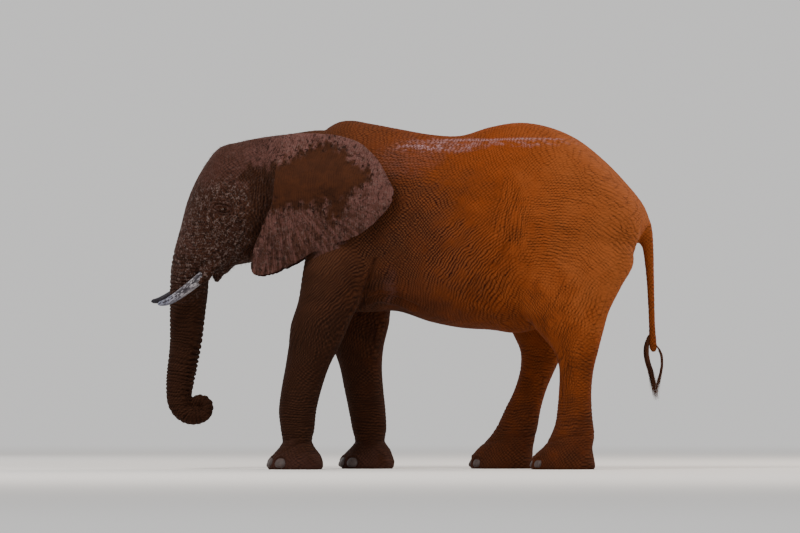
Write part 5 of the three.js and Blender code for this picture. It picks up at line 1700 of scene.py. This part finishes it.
        bold = patch((0.000, 1.780), (0.420, 0.440), 0.6, 0.30)
        bold = np.maximum(bold, 0.25 * patch((0.750, 1.450), (0.480, 0.280), 0.6, 0.30))
        bold = np.maximum(bold, 0.50 * patch((1.200, 1.950), (0.450, 0.350), 0.8, 0.40)) * plain
        numbers = {
            "dust": dust, "wet": wet, "speck": speck, "pit": pit, "pale": pale,
            "red": red, "painted_glow": painted_glow, "dark": dark, "bold": bold,
            # painted shade in the folds and the trunk's rings
            "crease": np.clip(marks["crease"], 0, 1) ** 1.4,
            "smooth": on_ear * 0.35 + 0.5 * centre + marks["lids"] * 0.5,
        }
        numbers |= {f"lean_{way}": share for way, share in zip(LEANS, marks["ways"])}
        for name, values in numbers.items():
            keep_values(mesh, name, np.clip(values, 0, 1))


class ELEPHANT_OT_eyes(Operator):
    """Builds both eyeballs."""

    bl_idname = "elephant.eyes"
    bl_label = "Eyes"

    def execute(self, context):
        material = eye_material(context.scene.elephant_colours)
        for side_name, side in SIDES:
            eye = make_eye(side_name, side, context.scene.elephant_sizes)
            dressed(eye, material)
            replace(eye, [f"eye_{side_name}"])
        return {"FINISHED"}


class ELEPHANT_OT_tusks(Operator):
    """Builds both tusks."""

    bl_idname = "elephant.tusks"
    bl_label = "Tusks"

    def execute(self, context):
        material = ivory_material(context.scene.elephant_colours)
        for side_name, side in SIDES:
            tusk = make_tusk(side_name, side)
            dressed(tusk, material)
            replace(tusk, [f"tusk_{side_name}"])
        return {"FINISHED"}


class ELEPHANT_OT_nails(Operator):
    """Builds the nails of all four feet."""

    bl_idname = "elephant.nails"
    bl_label = "Nails"

    def execute(self, context):
        material = nail_material(context.scene.elephant_colours)
        for name, middle, facing, sizes in nail_seats():
            nail = make_nail(name, middle, facing, sizes)
            dressed(nail, material)
            replace(nail, [name])
        return {"FINISHED"}


class ELEPHANT_OT_tail_tuft(Operator):
    """Builds the tail's tuft, hair by hair, in its two locks and the wisps at their ends."""

    bl_idname = "elephant.tail_tuft"
    bl_label = "Tail tuft"

    def execute(self, context):
        sizes = context.scene.elephant_sizes
        chance = np.random.default_rng(sizes.seed)
        strands = []
        for lock in (FRONT_LOCK, REAR_LOCK):
            rows = eased(lock, 0.02)
            middle = middles_of(rows)
            half = np.linalg.norm(rows[:, 0:2] - rows[:, 2:4], axis=1) / 2
            for _ in range(sizes.tuft_hairs if lock is FRONT_LOCK else sizes.tuft_hairs // 3):
                strands.append(self.strand(chance, middle, half, rows[:, 5], sizes.hair_width))
        tuft = hair_piece("tail_hair", strands, bpy.data.objects["skin"])
        dressed(tuft, hair_material(context.scene.elephant_colours))
        replace(tuft, ["tail_tuft"])
        return {"FINISHED"}

    def strand(self, chance, middle, half, thick, width):
        """One hair that follows its lock's middle, off to one side of it, and strays at its end."""
        count = 22
        first = chance.uniform(0, 0.22)
        last = chance.uniform(0.72, 1.0)
        where = np.linspace(first, last, count) * (len(middle) - 1)
        order = np.arange(len(middle))
        path = np.stack([np.interp(where, order, middle[:, k]) for k in range(3)], 1)
        turn, away = chance.uniform(0, 2 * math.pi), math.sqrt(chance.uniform(0.02, 1))
        turn = turn + np.linspace(0, chance.normal(0, 0.9), count)
        path[:, 0] += np.cos(turn) * away * np.interp(where, order, half) * LOCK_FILLED
        path[:, 1] += np.sin(turn) * away * np.interp(where, order, thick) * LOCK_FILLED
        stray = np.linspace(0, 1, count) ** 3
        path += stray[:, None] * chance.normal(0, 1, 3) * (0.010, 0.012, 0.012)
        wave = np.sin(np.linspace(0, chance.uniform(3, 9), count) + chance.uniform(0, 6))
        path[:, 0] += wave * 0.0025
        path[:, 0] = np.minimum(path[:, 0], TUFT_LIMIT)
        return hair_strand(path, width * chance.uniform(0.7, 1.15))


class ELEPHANT_OT_bristles(Operator):
    """Builds the lashes, and the sparse bristles of crown, chin and trunk."""

    bl_idname = "elephant.bristles"
    bl_label = "Bristles and lashes"

    def execute(self, context):
        sizes = context.scene.elephant_sizes
        chance = np.random.default_rng(sizes.seed + 1)
        skin = bpy.data.objects["skin"]
        points, normals = points_of(skin.data), normals_of(skin.data)
        x, y, z = points.T
        crown = (z > 2.30) & (x < -0.95) & (x > -1.60) & (np.abs(y) < 0.30)
        chin = (z < 1.62) & (z > 1.42) & (x > -1.52) & (x < -1.20) & (np.abs(y) < 0.20)
        trunk = (x < -1.55) & (z < 0.75)
        strands = []
        for region, count, long in ((crown, sizes.crown_bristles, 0.022), (chin, sizes.chin_bristles, 0.016),
                                    (trunk, sizes.chin_bristles // 2, 0.014)):
            chosen = chance.choice(np.nonzero(region)[0], count, replace=False)
            thick = sizes.bristle_width
            strands += [self.bristle(chance, points[i], normals[i], long, thick) for i in chosen]
        for side_name, side in SIDES:
            strands += self.lashes(chance, eye_centre(side_name), side, sizes)
        bristles = hair_piece("bristles", strands, skin)
        dressed(bristles, hair_material(context.scene.elephant_colours))
        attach(bristles, "root")
        return {"FINISHED"}

    def bristle(self, chance, root, normal, long, width):
        """One short bristle, leaning as it likes."""
        long = long * chance.uniform(0.5, 1.3)
        lean = normal + chance.normal(0, 0.45, 3)
        lean /= np.linalg.norm(lean)
        t = np.linspace(0, 1, 6)[:, None]
        path = root - normal * HAIR_DEPTH + lean * long * t + np.array([0, 0, -0.35]) * long * t**2
        return hair_strand(path, width)

    def lashes(self, chance, centre, side, sizes):
        """The upper lid's lashes, out over the eye and down."""
        strands = []
        for share in np.linspace(-0.95, 0.95, sizes.lashes):
            along = share * EYE_OPENING["long"]
            above = EYE_OPENING["above"] * math.sqrt(max(1 - share**2, 0.05)) * 1.1
            root = np.array([centre.x + along, centre.y + side * 0.0225, centre.z + above - 0.2 * along])
            long = chance.uniform(0.030, 0.048)
            t = np.linspace(0, 1, 8)[:, None]
            out = np.array([share * 0.35 + chance.normal(0, 0.08), side * 0.85, 0.1])
            path = root + out * long * t + np.array([0, 0, -0.9]) * long * t**2
            strands.append(hair_strand(path, sizes.bristle_width))
        return strands


class ELEPHANT_OT_stage(Operator):
    """Sets the floor, the lamps and the camera."""

    bl_idname = "elephant.stage"
    bl_label = "Stage"

    def execute(self, context):
        stage = context.scene.elephant_stage
        self.floor(context)
        self.lamps(context, stage.light)
        data = bpy.data.cameras.new("camera")
        data.sensor_width = SENSOR_WIDTH
        data.lens = SENSOR_WIDTH * stage.distance / stage.field
        data.clip_end = CAMERA_REACH
        camera = linked("camera", data)
        camera.location = (stage.aim_x, -stage.distance, stage.height)
        aim = Vector((stage.aim_x, 0, stage.aim_z)) - camera.location
        camera.rotation_euler = aim.to_track_quat("-Z", "Y").to_euler()
        context.scene.camera = camera
        return {"FINISHED"}

    def floor(self, context):
        bm = bmesh.new()
        bmesh.ops.create_circle(bm, cap_ends=True, segments=96, radius=FLOOR_RADIUS)
        mesh = bpy.data.meshes.new("floor")
        bm.to_mesh(mesh)
        bm.free()
        floor = linked("floor", mesh)
        colours = context.scene.elephant_colours
        studio = np.array(colours.studio) * STUDIO_LIGHT * context.scene.elephant_stage.light
        dressed(floor, floor_material(colours, studio.tolist()), smooth=False)

    def lamps(self, context, strength):
        lamps = [
            ("key", (-4.5, -6.0, 9.5), 4.0, 900, (1.0, 0.96, 0.92)),
            ("fill", (7.0, -8.0, 6.0), 5.0, 300, (1.0, 0.92, 0.84)),
            ("rim", (8.0, 5.0, 7.0), 5.0, 800, (1.0, 0.88, 0.76)),
            ("far fill", (-7.0, 8.0, 5.0), 7.0, 250, (0.95, 0.97, 1.0)),
        ]
        for name, place, size, power, tint in lamps:
            data = bpy.data.lights.new(name, "AREA")
            data.size = size
            data.energy = power * strength
            data.color = tint
            lamp = linked(name, data)
            lamp.location = place
            lamp.rotation_euler = (Vector((0, 0, 1.3)) - Vector(place)).to_track_quat("-Z", "Y").to_euler()
        world = bpy.data.worlds.new("world")
        world.use_nodes = True
        light = world.node_tree.nodes["Background"].inputs
        light["Color"].default_value = colour(context.scene.elephant_colours.studio)
        light["Strength"].default_value = STUDIO_LIGHT * strength
        context.scene.world = world


GROUPS = (
    ("elephant_sizes", ElephantSizes),
    ("elephant_colours", ElephantColours),
    ("elephant_stage", ElephantStage),
)
PIECES = (
    ELEPHANT_OT_skin, ELEPHANT_OT_eyes, ELEPHANT_OT_tusks, ELEPHANT_OT_nails, ELEPHANT_OT_tail_tuft,
    ELEPHANT_OT_bristles, ELEPHANT_OT_stage,
)


class ELEPHANT_PT_panel(Panel):
    """Lists the sizes, the colours and the operators."""

    bl_idname = "ELEPHANT_PT_panel"
    bl_label = "Elephant"
    bl_space_type = "VIEW_3D"
    bl_region_type = "UI"
    bl_category = "Elephant"

    def draw(self, context):
        for settings, _ in GROUPS:
            group = getattr(context.scene, settings)
            box = self.layout.box()
            for name in group.bl_rna.properties.keys():
                if name not in ("rna_type", "name"):
                    box.prop(group, name)
        for operator in PIECES:
            self.layout.operator(operator.bl_idname)


def register():
    for name, group in GROUPS:
        bpy.utils.register_class(group)
        setattr(bpy.types.Scene, name, PointerProperty(type=group))
    for kind in (*PIECES, ELEPHANT_PT_panel):
        bpy.utils.register_class(kind)


def unregister():
    for kind in reversed((*PIECES, ELEPHANT_PT_panel)):
        bpy.utils.unregister_class(kind)
    for name, group in reversed(GROUPS):
        delattr(bpy.types.Scene, name)
        bpy.utils.unregister_class(group)


def main():
    register()
    bpy.ops.elephant.stage()
    bpy.ops.elephant.skin()
    bpy.ops.elephant.eyes()
    bpy.ops.elephant.tusks()
    bpy.ops.elephant.nails()
    bpy.ops.elephant.tail_tuft()
    bpy.ops.elephant.bristles()


if __name__ == "__main__":
    main()
